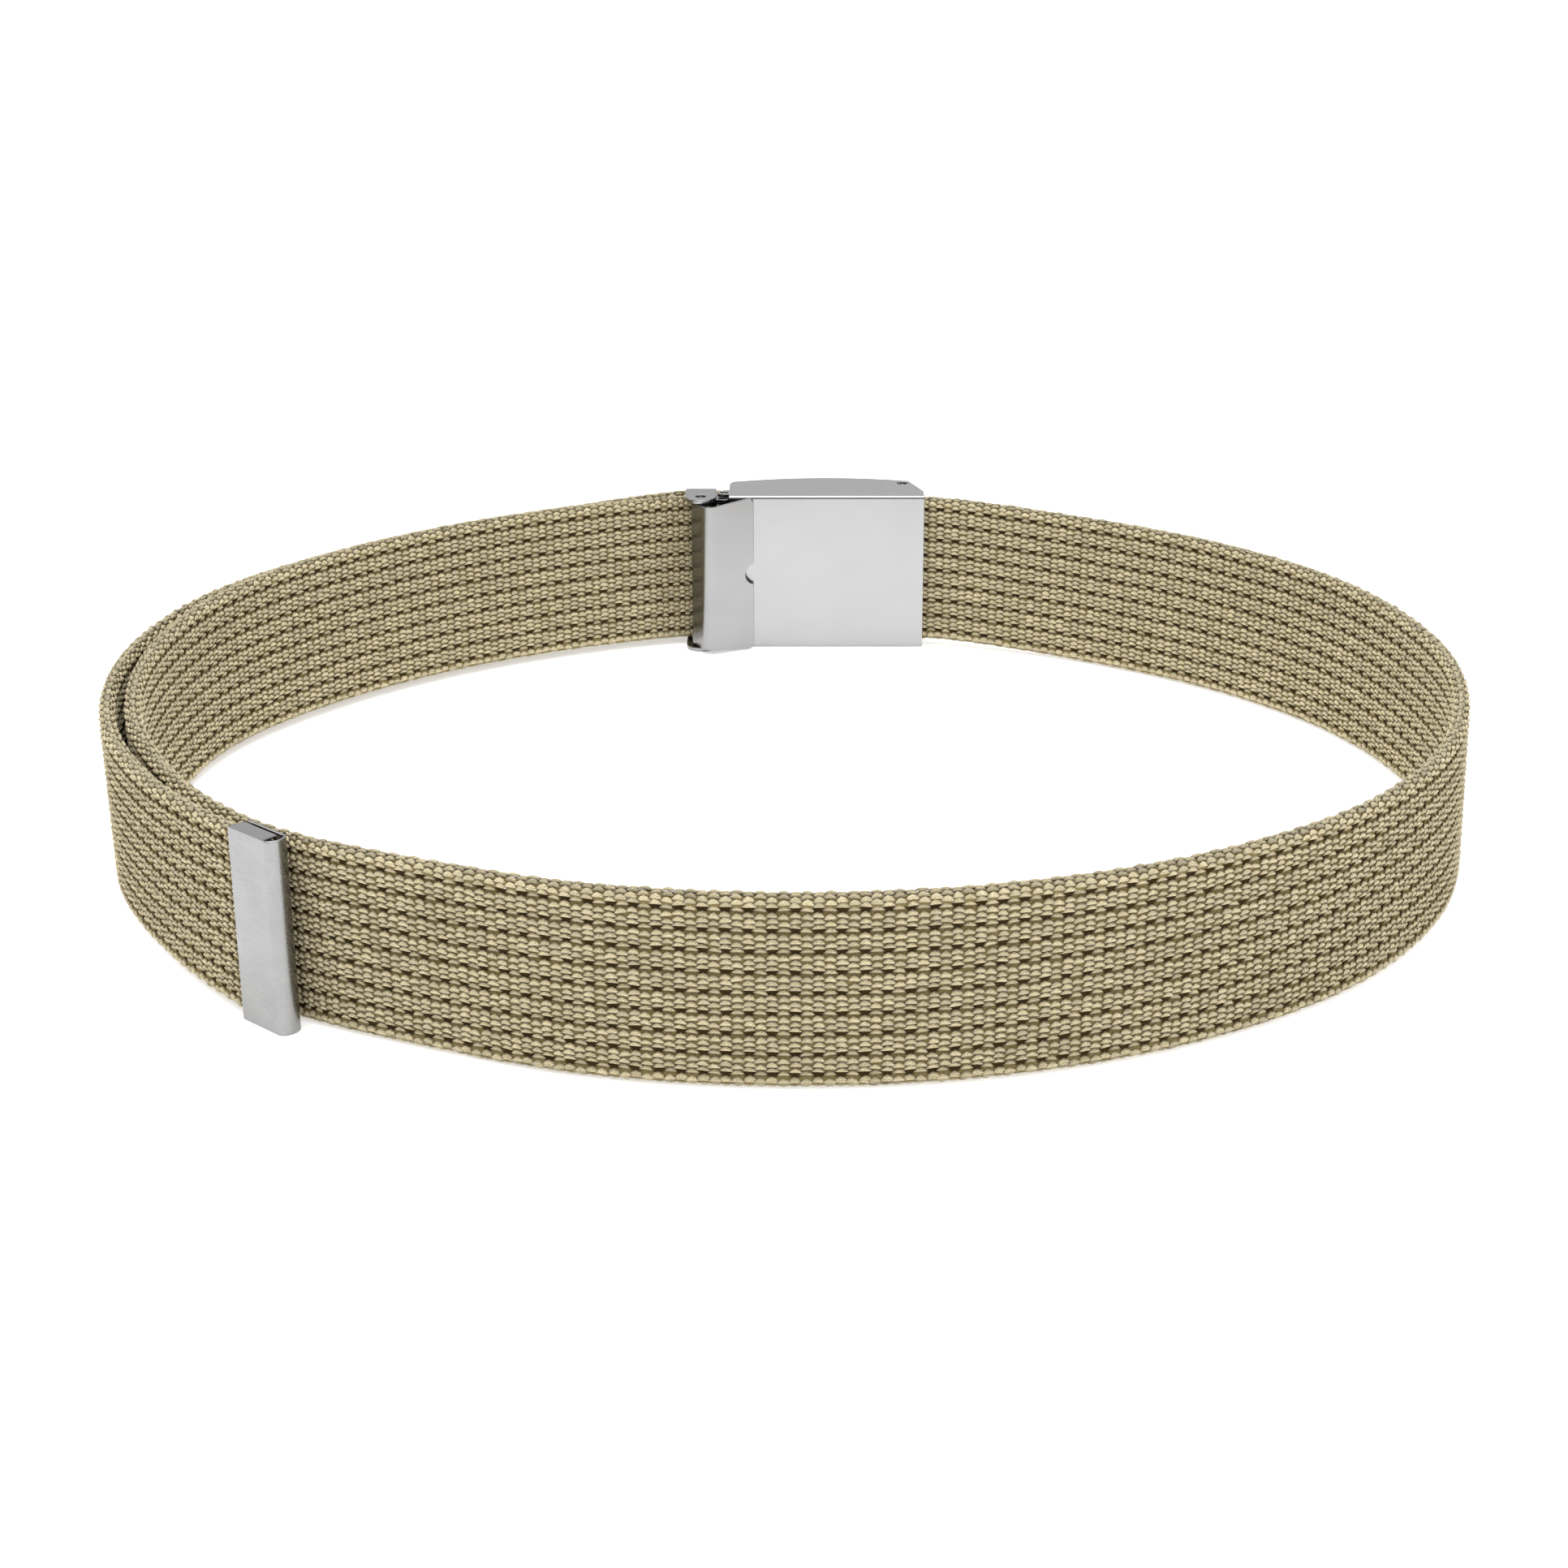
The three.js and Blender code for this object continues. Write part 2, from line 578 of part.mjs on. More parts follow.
addPiece("web_strap", webStrap(), cotton);
addPiece("belt_tip", beltTip(), nickel);
addPiece("buckle_box", buckleBox(), nickel);
addPiece("front_cover", frontCover(), nickel);
addPiece("cover_pin", throughPin(coverPin, PIN_RADIUS), steel);
addPiece("grip_bar", gripBar(), steel);
addPiece("clamp_bracket", clampBracket(), nickel);
addPiece("clamp_flap", clampFlap(), nickel);
addPiece("clamp_pin", throughPin(clampPin, PIN_RADIUS), steel);
addPiece("swivel_pin", throughPin(swivelPin, SWIVEL_PIN_RADIUS), steel);

// The origin is the middle of the belt's footprint, on the surface that it stands on.
const extent = new THREE.Box3().setFromObject(belt);
belt.position.set(-(extent.min.x + extent.max.x) / 2, -(extent.min.y + extent.max.y) / 2, -extent.min.z);

export default belt;
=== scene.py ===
"""Canvas web belt: a thick ribbed cotton strap, a satin nickel slide buckle and a folded metal tip.

Metres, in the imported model's frame: X along the buckle, Y away from the camera, Z up.
"""

import logging
import math
from dataclasses import dataclass, field
from enum import Enum
from typing import Any

import bmesh
import bpy
import numpy as np
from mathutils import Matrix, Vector

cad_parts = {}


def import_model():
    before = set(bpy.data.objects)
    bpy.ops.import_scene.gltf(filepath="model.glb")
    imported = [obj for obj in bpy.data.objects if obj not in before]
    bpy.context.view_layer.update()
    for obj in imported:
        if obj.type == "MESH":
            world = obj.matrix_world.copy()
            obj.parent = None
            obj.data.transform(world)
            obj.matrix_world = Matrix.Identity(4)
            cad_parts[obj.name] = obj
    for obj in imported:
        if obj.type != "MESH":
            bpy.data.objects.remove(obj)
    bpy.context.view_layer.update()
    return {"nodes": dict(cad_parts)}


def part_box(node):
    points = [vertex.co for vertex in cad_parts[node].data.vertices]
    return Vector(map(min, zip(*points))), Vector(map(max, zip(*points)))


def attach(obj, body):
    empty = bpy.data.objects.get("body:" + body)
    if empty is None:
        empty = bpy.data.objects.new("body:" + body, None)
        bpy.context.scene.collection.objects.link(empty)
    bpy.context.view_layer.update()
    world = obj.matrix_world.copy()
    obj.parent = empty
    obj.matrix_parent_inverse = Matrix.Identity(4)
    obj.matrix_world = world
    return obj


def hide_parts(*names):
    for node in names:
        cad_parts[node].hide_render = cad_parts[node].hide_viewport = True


MM = 0.001
BELT_BODY = "belt"
FLAP_BODY = "clamp_flap"
BYTE_MAX = 255
SRGB_KNEE = 0.04045
SRGB_SLOPE = 12.92
SRGB_OFFSET = 0.055
SRGB_POWER = 2.4
VECTOR_LAYERS = ("facing", "running", "size")
# A colour mix has several sockets of each name, so these go by their numbers.
MIX_SHARE, MIX_FIRST, MIX_SECOND, MIX_RESULT = 0, 6, 7, 2

log = logging.getLogger("belt")


def linear(colour: str) -> tuple[float, float, float, float]:
    """An sRGB hex colour as linear RGBA.

    Args:
        colour: Six hex digits after a number sign.

    Returns:
        The linear red, green, blue and an alpha of one.
    """
    parts = [int(colour[i:i + 2], 16) / BYTE_MAX for i in (1, 3, 5)]
    red, green, blue = (
        c / SRGB_SLOPE if c <= SRGB_KNEE else ((c + SRGB_OFFSET) / (1 + SRGB_OFFSET)) ** SRGB_POWER
        for c in parts
    )
    return red, green, blue, 1.0


def add_node(
    tree: bpy.types.NodeTree,
    kind: str,
    settings: dict[str, Any] | None = None,
    inputs: dict[Any, Any] | None = None,
) -> bpy.types.Node:
    """Adds one node with its settings, and gives each named input a value or a link.

    Args:
        tree: The tree that gets the node.
        kind: The node's Blender type name.
        settings: The node's own properties.
        inputs: A value, or an output socket to link from, for each input name or index.

    Returns:
        The new node.
    """
    node = tree.nodes.new(kind)
    for name, value in (settings or {}).items():
        setattr(node, name, value)
    for key, value in (inputs or {}).items():
        if isinstance(value, bpy.types.NodeSocket):
            tree.links.new(value, node.inputs[key])
        else:
            node.inputs[key].default_value = value
    return node


def new_material(name: str) -> tuple[bpy.types.Material, bpy.types.NodeTree, bpy.types.Node]:
    """An empty node material.

    Args:
        name: The material's name.

    Returns:
        The material, its tree and its output node.
    """
    material = bpy.data.materials.new(name)
    material.use_nodes = True
    tree = material.node_tree
    tree.nodes.clear()
    return material, tree, add_node(tree, "ShaderNodeOutputMaterial")


def add_math(tree: bpy.types.NodeTree, operation: str, *terms: Any) -> bpy.types.NodeSocket:
    """Adds one sum, with a value or a link for each of its terms, and returns its result."""
    return add_node(tree, "ShaderNodeMath", {"operation": operation}, dict(enumerate(terms))).outputs[0]


def add_mix(
    tree: bpy.types.NodeTree,
    share: bpy.types.NodeSocket,
    first: Any,
    second: Any,
) -> bpy.types.NodeSocket:
    """Adds a blend of two colours.

    Args:
        tree: The material's tree.
        share: How much of the second colour shows, from 0 to 1.
        first: The first colour, as a value or a link.
        second: The second colour, as a value or a link.

    Returns:
        The blended colour.
    """
    mix = add_node(tree, "ShaderNodeMix", {"data_type": "RGBA"}, {
        MIX_SHARE: share, MIX_FIRST: first, MIX_SECOND: second,
    })
    return mix.outputs[MIX_RESULT]


def add_noise(
    tree: bpy.types.NodeTree,
    place: bpy.types.NodeSocket,
    grain_mm: float,
    detail: float,
    roughness: float = 0.5,
) -> bpy.types.NodeSocket:
    """Adds noise whose grain has a real size.

    Args:
        tree: The material's tree.
        place: The object's own coordinates.
        grain_mm: Size of the grain in millimetres.
        detail: How many finer layers it has.
        roughness: How strong the finer layers are.

    Returns:
        The noise as a value from 0 to 1.
    """
    noise = add_node(tree, "ShaderNodeTexNoise", None, {
        "Vector": place, "Scale": 1 / (grain_mm * MM), "Detail": detail, "Roughness": roughness,
    })
    return noise.outputs["Fac"]


def add_bump(
    tree: bpy.types.NodeTree,
    height: bpy.types.NodeSocket,
    depth_mm: float,
    strength: float,
) -> bpy.types.NodeSocket:
    """Adds a bump of a real depth.

    Args:
        tree: The material's tree.
        height: The relief, from 0 to 1.
        depth_mm: Its depth in millimetres.
        strength: Share of it that the light sees.

    Returns:
        The bumped normal.
    """
    bump = add_node(tree, "ShaderNodeBump", None, {
        "Strength": strength, "Distance": depth_mm * MM, "Height": height,
    })
    return bump.outputs["Normal"]


def add_surface(tree: bpy.types.NodeTree, output: bpy.types.Node, inputs: dict[str, Any]) -> None:
    """Adds the principled surface, with a value or a link for each input, and joins it to the output."""
    surface = add_node(tree, "ShaderNodeBsdfPrincipled", None, inputs)
    tree.links.new(surface.outputs["BSDF"], output.inputs["Surface"])


def mesh_object(
    name: str,
    points: np.ndarray,
    faces: list[tuple[int, ...]],
) -> bpy.types.Object:
    """A mesh object at the origin, linked to the scene.

    Args:
        name: The object's name.
        points: Its corners, in metres.
        faces: Corner numbers of each face.

    Returns:
        The new object.
    """
    mesh = bpy.data.meshes.new(name)
    mesh.from_pydata([tuple(p) for p in points], [], faces)
    mesh.update()
    made = bpy.data.objects.new(name, mesh)
    bpy.context.scene.collection.objects.link(made)
    return made


class Brush(Enum):
    """The way a metal part was brushed."""

    ALONG_BUCKLE = "along the buckle"
    ALONG_TIP = "along the strap at the tip"
    FINE = "tumbled, with no direction"


@dataclass(frozen=True)
class SatinNickel:
    """Nickel plate on brushed steel sheet: pale grey, with soft wide highlights and faint parallel lines."""

    name: str = "satin_nickel_plate"
    bright: str = "#A5A5A6"
    dull: str = "#9E9E9F"
    roughness: float = 0.22
    roughness_spread: float = 0.015
    line_spacing_mm: float = 0.2
    line_length_mm: float = 5.0
    line_depth_mm: float = 0.0012
    line_detail: float = 3.0
    line_mix: float = 0.6
    line_low: float = 0.3
    line_high: float = 0.7
    line_strength: float = 0.35
    cloud_mm: float = 9.0
    cloud_detail: float = 4.0
    cloud_mix: float = 0.55
    tip_turn_deg: float = 0.0

    def build(self, brush: Brush) -> bpy.types.Material:
        """Makes the material.

        Args:
            brush: Which way its fine lines run.

        Returns:
            The finished material.
        """
        material, tree, output = new_material(f"{self.name}_{brush.name.lower()}")
        place = add_node(tree, "ShaderNodeTexCoord").outputs["Object"]
        across = 1 / (self.line_spacing_mm * MM)
        along = across if brush is Brush.FINE else 1 / (self.line_length_mm * MM)
        turn = math.radians(self.tip_turn_deg) if brush is Brush.ALONG_TIP else 0.0
        turned = add_node(tree, "ShaderNodeMapping", {"vector_type": "TEXTURE"}, {
            "Vector": place, "Rotation": (0.0, 0.0, turn),
        })
        scaled = add_node(tree, "ShaderNodeVectorMath", {"operation": "MULTIPLY"}, {
            0: turned.outputs["Vector"], 1: (along, across, across),
        })
        lines = add_node(tree, "ShaderNodeTexNoise", None, {
            "Vector": scaled.outputs["Vector"], "Scale": 1.0, "Detail": self.line_detail,
            "Roughness": self.line_mix,
        }).outputs["Fac"]
        clouds = add_noise(tree, place, self.cloud_mm, self.cloud_detail, self.cloud_mix)
        gloss = add_node(tree, "ShaderNodeMapRange", None, {
            "Value": lines, "From Min": self.line_low, "From Max": self.line_high,
            "To Min": self.roughness - self.roughness_spread,
            "To Max": self.roughness + self.roughness_spread,
        })
        add_surface(tree, output, {
            "Base Color": add_mix(tree, clouds, linear(self.dull), linear(self.bright)),
            "Metallic": 1.0, "Roughness": gloss.outputs["Result"],
            "Normal": add_bump(tree, lines, self.line_depth_mm, self.line_strength),
        })
        return material


@dataclass(frozen=True)
class PinSteel:
    """Drawn steel: a cool grey, a little paler and duller than the plate round it, with a fine grain."""

    name: str = "drawn_pin_steel"
    colour: str = "#A9AAAD"
    roughness: float = 0.26
    roughness_low: float = 0.8
    roughness_high: float = 1.3
    grain_mm: float = 0.4
    grain_detail: float = 3.0

    def build(self) -> bpy.types.Material:
        """Makes the material.

        Returns:
            The finished material.
        """
        material, tree, output = new_material(self.name)
        place = add_node(tree, "ShaderNodeTexCoord").outputs["Object"]
        gloss = add_node(tree, "ShaderNodeMapRange", None, {
            "Value": add_noise(tree, place, self.grain_mm, self.grain_detail),
            "To Min": self.roughness * self.roughness_low, "To Max": self.roughness * self.roughness_high,
        })
        add_surface(tree, output, {
            "Base Color": linear(self.colour), "Metallic": 1.0, "Roughness": gloss.outputs["Result"],
        })
        return material


@dataclass(frozen=True)
class CottonYarn:
    """Twisted khaki cotton yarn: matt, with slanted plies whose crests are painted lighter along each float,
    a painted highlight over their bump.
    """

    name: str = "khaki_cotton_yarn"
    light: str = "#F2E4BE"
    middle: str = "#BAAB80"
    shade: str = "#8F866B"
    roughness: float = 0.88
    sheen: float = 0.25
    sheen_roughness: float = 0.5
    gloss: float = 0.25
    ply_lines: float = 3.0
    ply_slant: float = 1.56
    ply_depth_mm: float = 0.16
    ply_strength: float = 0.8
    fuzz_mm: float = 0.3
    fuzz_detail: float = 2.0
    fuzz_share: float = 0.4
    patch_mm: float = 14.0
    patch_detail: float = 3.0
    patch_share: float = 0.35
    dark_tone: float = -0.9
    light_tone: float = 1.25
    most_shade: float = 0.9

    def build(self) -> bpy.types.Material:
        """Makes the material.

        Returns:
            The finished material.
        """
        material, tree, output = new_material(self.name)
        place = add_node(tree, "ShaderNodeTexCoord").outputs["Object"]
        yarn = add_node(tree, "ShaderNodeAttribute", {"attribute_name": "yarn"})
        tone = add_node(tree, "ShaderNodeAttribute", {"attribute_name": "tone"})
        split = add_node(tree, "ShaderNodeSeparateXYZ", None, {0: yarn.outputs["Vector"]})
        slant = add_math(tree, "MULTIPLY_ADD", split.outputs["X"], -self.ply_slant, split.outputs["Y"])
        fuzz = add_noise(tree, place, self.fuzz_mm, self.fuzz_detail)
        wavy = add_math(tree, "MULTIPLY_ADD", fuzz, self.fuzz_share, slant)
        ply = add_math(tree, "SINE", add_math(tree, "MULTIPLY", wavy, self.ply_lines * 2 * math.pi))
        ridge = add_node(tree, "ShaderNodeMapRange", {"interpolation_type": "SMOOTHSTEP"}, {
            "Value": ply, "From Min": -1.0, "From Max": 1.0,
        })
        # The ply crests are painted lighter than the middle tone as a painted highlight; the bump below gives
        # the same stripes their relief.
        body = add_mix(tree, ridge.outputs["Result"], linear(self.middle), linear(self.light))
        patches = add_noise(tree, place, self.patch_mm, self.patch_detail)
        uneven = add_math(tree, "MULTIPLY_ADD", patches, self.patch_share, tone.outputs["Fac"])
        amount = add_node(tree, "ShaderNodeMapRange", None, {
            "Value": uneven, "From Min": self.dark_tone, "From Max": self.light_tone,
            "To Min": self.most_shade, "To Max": 0.0,
        })
        worn = add_mix(tree, amount.outputs["Result"], body, linear(self.shade))
        add_surface(tree, output, {
            "Base Color": worn, "Roughness": self.roughness, "Sheen Weight": self.sheen,
            "Sheen Roughness": self.sheen_roughness, "Specular IOR Level": self.gloss,
            "Normal": add_bump(tree, ridge.outputs["Result"], self.ply_depth_mm, self.ply_strength),
        })
        return material


@dataclass(frozen=True)
class ShadedGround:
    """The strap's inner weft and shaded warp: olive brown between the floats, and painted shade that turns
    the grooves dark brown.
    """

    name: str = "shaded_cotton_ground"
    ground: str = "#7E7049"
    # The grooves' dark brown is painted shade, where the floats overhang them.
    groove: str = "#45371D"
    roughness: float = 0.95
    gloss: float = 0.1
    column_share: float = 0.45
    groove_shade_start: float = 0.5
    groove_shade_full: float = 1.2
    fuzz_mm: float = 0.3
    fuzz_detail: float = 3.0
    fuzz_depth_mm: float = 0.1
    fuzz_strength: float = 0.8

    def build(self, rib_pitch: float, first_groove: float) -> bpy.types.Material:
        """Makes the material.

        Args:
            rib_pitch: Distance from groove to groove, in metres.
            first_groove: Height of the lowest groove, in metres.

        Returns:
            The finished material.
        """
        material, tree, output = new_material(self.name)
        place = add_node(tree, "ShaderNodeTexCoord").outputs["Object"]
        web = add_node(tree, "ShaderNodeAttribute", {"attribute_name": "web"})
        split = add_node(tree, "ShaderNodeSeparateXYZ", None, {0: web.outputs["Vector"]})
        # Painted shade in the grooves, deepest in the columns whose floats leave them open.
        turns = 2 * math.pi / rib_pitch
        angle = add_math(tree, "MULTIPLY_ADD", split.outputs["Y"], turns, -turns * first_groove)
        wave = add_math(tree, "COSINE", angle)
        column = add_math(tree, "COSINE", add_math(tree, "MULTIPLY", split.outputs["X"], math.pi))
        depth = add_node(tree, "ShaderNodeMapRange", {"interpolation_type": "SMOOTHSTEP"}, {
            "Value": add_math(tree, "MULTIPLY_ADD", column, self.column_share, wave),
            "From Min": self.groove_shade_start, "From Max": self.groove_shade_full,
        })
        groove_shaded_colour = add_mix(tree, depth.outputs["Result"], linear(self.ground), linear(self.groove))
        fuzz = add_noise(tree, place, self.fuzz_mm, self.fuzz_detail)
        add_surface(tree, output, {
            "Base Color": groove_shaded_colour, "Roughness": self.roughness, "Specular IOR Level": self.gloss,
            "Normal": add_bump(tree, fuzz, self.fuzz_depth_mm, self.fuzz_strength),
        })
        return material


@dataclass(frozen=True)
class Row:
    """A stop of the loop: its place in shares of half the loop, its share of the lift, and its lean."""

    across: float
    deep: float
    lift: float
    lean: float


@dataclass(frozen=True)
class TailRow:
    """A stop of the tail: the loop row it follows, its gap in strap thicknesses and share of the lift."""

    row: int
    gap: float
    lift: float


LOOP = (
    Row(-0.365, 0.885, 1, 0),
    Row(-0.592, 0.745, 1, 0),
    Row(-0.798, 0.536, 1, 0),
    Row(-0.937, 0.296, 0.95, 0),
    Row(-0.99, 0, 0.8, 0.01),
    Row(-0.957, -0.323, 0.5, 0.03),
    Row(-0.849, -0.588, 0.2, 0.06),
    Row(-0.752, -0.733, 0.1, 0.045),
    Row(-0.663, -0.82, 0, 0.03),
    Row(-0.5, -0.914, 0, 0.02),
    Row(-0.267, -1.013, 0, 0.01),
    Row(0, -1.049, 0, 0),
    Row(0.267, -1.017, 0, 0),
    Row(0.533, -0.908, 0, 0),
    Row(0.775, -0.712, 0, 0),
    Row(0.936, -0.452, 0, -0.01),
    Row(1.014, -0.138, 0, -0.02),
    Row(1.005, 0.14, 0, -0.01),
    Row(0.914, 0.422, 0, 0),
    Row(0.737, 0.662, 0, 0),
    Row(0.512, 0.837, 0.1, 0),
)
TAIL = (
    TailRow(0, 0.18, 0.3),
    TailRow(1, 0.12, 0),
    TailRow(2, 0.12, 0),
    TailRow(3, 0.3, 0),
    TailRow(4, 0.62, 0),
    TailRow(5, 0.55, 0),
    TailRow(6, 0.38, 0.2),
)
TIP_ROW = 8


@dataclass
class StrapPath:
    """The strap's middle line, in millimetres, from its fixed end round the loop to its free end."""

    height: float = 38.4
    thickness: float = 3.4
    loop_width: float = 285.0
    loop_depth: float = 260.0
    box_left: float = -15.5
    box_right: float = 35.0
    box_centre: float = 9.75
    clamp_left: float = -26.8
    fixed_end: float = -20.2
    fixed_y: float = 123.71
    entry_y: float = 122.31
    pass_y: float = 128.71
    lift: float = 1.3
    gap: float = 0.3
    mouth_lead: float = 6.0
    mouth_swing: float = 1.0
    mouth_depth: float = 2.0
    tip_gap: float = 1.2
    tip_length: float = 10.7
    tip_shift: float = 2.0
    tip_turn_deg: float = 10.0
    tip_lean: float = 0.015
    tip_lead: float = 13.0
    tip_lift: float = 0.8
    samples_per_span: int = 60
    heading_step: float = 0.5
    shift: tuple[float, float] = (0.648, 0.432)
    spots: np.ndarray = field(init=False)
    leans: np.ndarray = field(init=False)
    reach: np.ndarray = field(init=False)

    def __post_init__(self) -> None:
        """Samples the spline through the stops."""
        stops, leans = self._stops()
        spots = [self._between(stops, span, part) for span in range(len(stops) - 1)
                 for part in np.arange(self.samples_per_span) / self.samples_per_span]
        self.spots = np.array([*spots, stops[-1]])
        self.spots[:, :2] += self.shift
        self.spots[:, 2] = np.maximum(self.spots[:, 2], 0)
        places = np.linspace(0, len(stops) - 1, len(self.spots))
        self.leans = np.interp(places, np.arange(len(stops)), leans)
        steps = np.linalg.norm(np.diff(self.spots, axis=0), axis=1)
        self.reach = np.concatenate([[0], np.cumsum(steps)])

    @property
    def length(self) -> float:
        """The strap's length in millimetres."""
        return float(self.reach[-1])

    def _loop_point(self, row: int) -> np.ndarray:
        """A loop row's place, in millimetres."""
        stop = LOOP[row]
        across, deep = stop.across * self.loop_width / 2, stop.deep * self.loop_depth / 2
        return np.array([across, deep, stop.lift * self.lift])

    def _outward(self, row: int) -> np.ndarray:
        """The level direction out of the loop at a row."""
        along = (self._loop_point(row + 1) - self._loop_point(max(row - 1, 0)))[:2]
        along /= np.linalg.norm(along)
        return np.array([along[1], -along[0], 0.0])

    def tip_axes(self) -> tuple[np.ndarray, np.ndarray, np.ndarray]:
        """The free end's own place and headings.

        Returns:
            Its place in millimetres, the direction along the strap and the direction outward.
        """
        loop_out = self._outward(TIP_ROW)
        loop_along = np.array([-loop_out[1], loop_out[0], 0.0])
        turn = math.radians(self.tip_turn_deg)
        along = loop_along * math.cos(turn) + loop_out * math.sin(turn)
        outward = np.array([along[1], -along[0], 0.0])
        heel = self._loop_point(TIP_ROW) + loop_out * (self.thickness + self.tip_gap)
        heel += loop_along * (self.tip_shift - self.tip_length)
        return heel + along * self.tip_length, along, outward

    def _stops(self) -> tuple[list[np.ndarray], list[float]]:
        """Every stop of the path with its lean.

        Returns:
            The stops in millimetres and their leans.
        """
        stops: list[tuple[np.ndarray, float]] = []
        for x in (self.fixed_end, (self.fixed_end + self.clamp_left) / 2, self.clamp_left):
            stops.append((np.array([x, self.fixed_y, self.lift]), 0.0))
        stops += [(self._loop_point(row), LOOP[row].lean) for row in range(len(LOOP))]
        inside = (
            (self.box_right + self.mouth_lead, self.entry_y - self.mouth_swing),
            (self.box_right - self.mouth_depth, self.entry_y + self.gap),
            (self.box_centre, (self.entry_y + self.pass_y) / 2),
            (self.box_left, self.pass_y),
            (self.clamp_left - self.gap, self.pass_y),
        )
        stops += [(np.array([x, y, self.lift]), 0.0) for x, y in inside]
        for tail in TAIL:
            spot = self._loop_point(tail.row) + self._outward(tail.row) * self.thickness * (1 + tail.gap)
            spot[2] = tail.lift * self.lift
            stops.append((spot, LOOP[tail.row].lean))
        origin, along, _ = self.tip_axes()
        for back in (self.tip_lead, self.tip_lead / 2, 0.0):
            spot = origin - along * back
            spot[2] = self.tip_lift
            stops.append((spot, self.tip_lean))
        return [spot for spot, _ in stops], [lean for _, lean in stops]

    def _between(self, stops: list[np.ndarray], span: int, part: float) -> np.ndarray:
        """A point of the centripetal spline.

        Args:
            stops: The points that it passes.
            span: Which run between two stops.
            part: How far along that run, from 0 to 1.

        Returns:
            The point in millimetres.
        """
        first, last = stops[span], stops[span + 1]
        before = stops[span - 1] if span > 0 else 2 * first - last
        after = stops[span + 2] if span + 2 < len(stops) else 2 * last - first
        gaps = [math.sqrt(np.linalg.norm(b - a)) for a, b in ((before, first), (first, last), (last, after))]
        leave = (first - before) / gaps[0] - (last - before) / (gaps[0] + gaps[1]) + (last - first) / gaps[1]
        arrive = (last - first) / gaps[1] - (after - first) / (gaps[1] + gaps[2]) + (after - last) / gaps[2]
        leave, arrive = leave * gaps[1], arrive * gaps[1]
        square = 3 * (last - first) - 2 * leave - arrive
        cube = 2 * (first - last) + leave + arrive
        return first + part * (leave + part * (square + part * cube))

    def frames(self, along: np.ndarray) -> tuple[np.ndarray, np.ndarray, np.ndarray, np.ndarray]:
        """The path's places and directions at distances along it.

        Args:
            along: Distances from the fixed end, in millimetres.

        Returns:
            Places, level tangents, level outward directions and leans.
        """
        spots = np.stack([np.interp(along, self.reach, self.spots[:, k]) for k in range(3)], 1)
        ahead, behind = along + self.heading_step, along - self.heading_step
        tangent = np.stack([
            np.interp(ahead, self.reach, self.spots[:, k]) - np.interp(behind, self.reach, self.spots[:, k])
            for k in range(2)
        ] + [np.zeros(len(along))], 1)
        tangent /= np.linalg.norm(tangent, axis=1)[:, None]
        outward = np.stack([tangent[:, 1], -tangent[:, 0], np.zeros(len(along))], 1)
        return spots, tangent, outward, np.interp(along, self.reach, self.leans)

    def place(self, along: np.ndarray, out: np.ndarray, up: np.ndarray) -> np.ndarray:
        """Points of the strap in metres.

        Args:
            along: Distances from the fixed end, in millimetres.
            out: Distances out of the middle line.
            up: Heights above the strap's lower edge.

        Returns:
            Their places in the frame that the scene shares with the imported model.
        """
        spots, _, outward, lean = self.frames(along)
        reach = out + lean * (up - self.height / 2)
        points = spots + outward * reach[:, None]
        points[:, 2] += up
        return points * MM


@dataclass(frozen=True)
class YarnFloat:
    """One yarn float of a column, in millimetres out of the strap's middle and up from its lower edge."""

    out: float
    up: float
    tilt_deg: float
    size: float = 1.0


BRIDGING_EDGE = (YarnFloat(0.98, 0.42, 50.0), YarnFloat(0.0, 0.02, 90.0, 1.1))
BETWEEN_EDGE = (YarnFloat(1.32, 0.98, 25.0), YarnFloat(0.46, 0.24, 74.0))


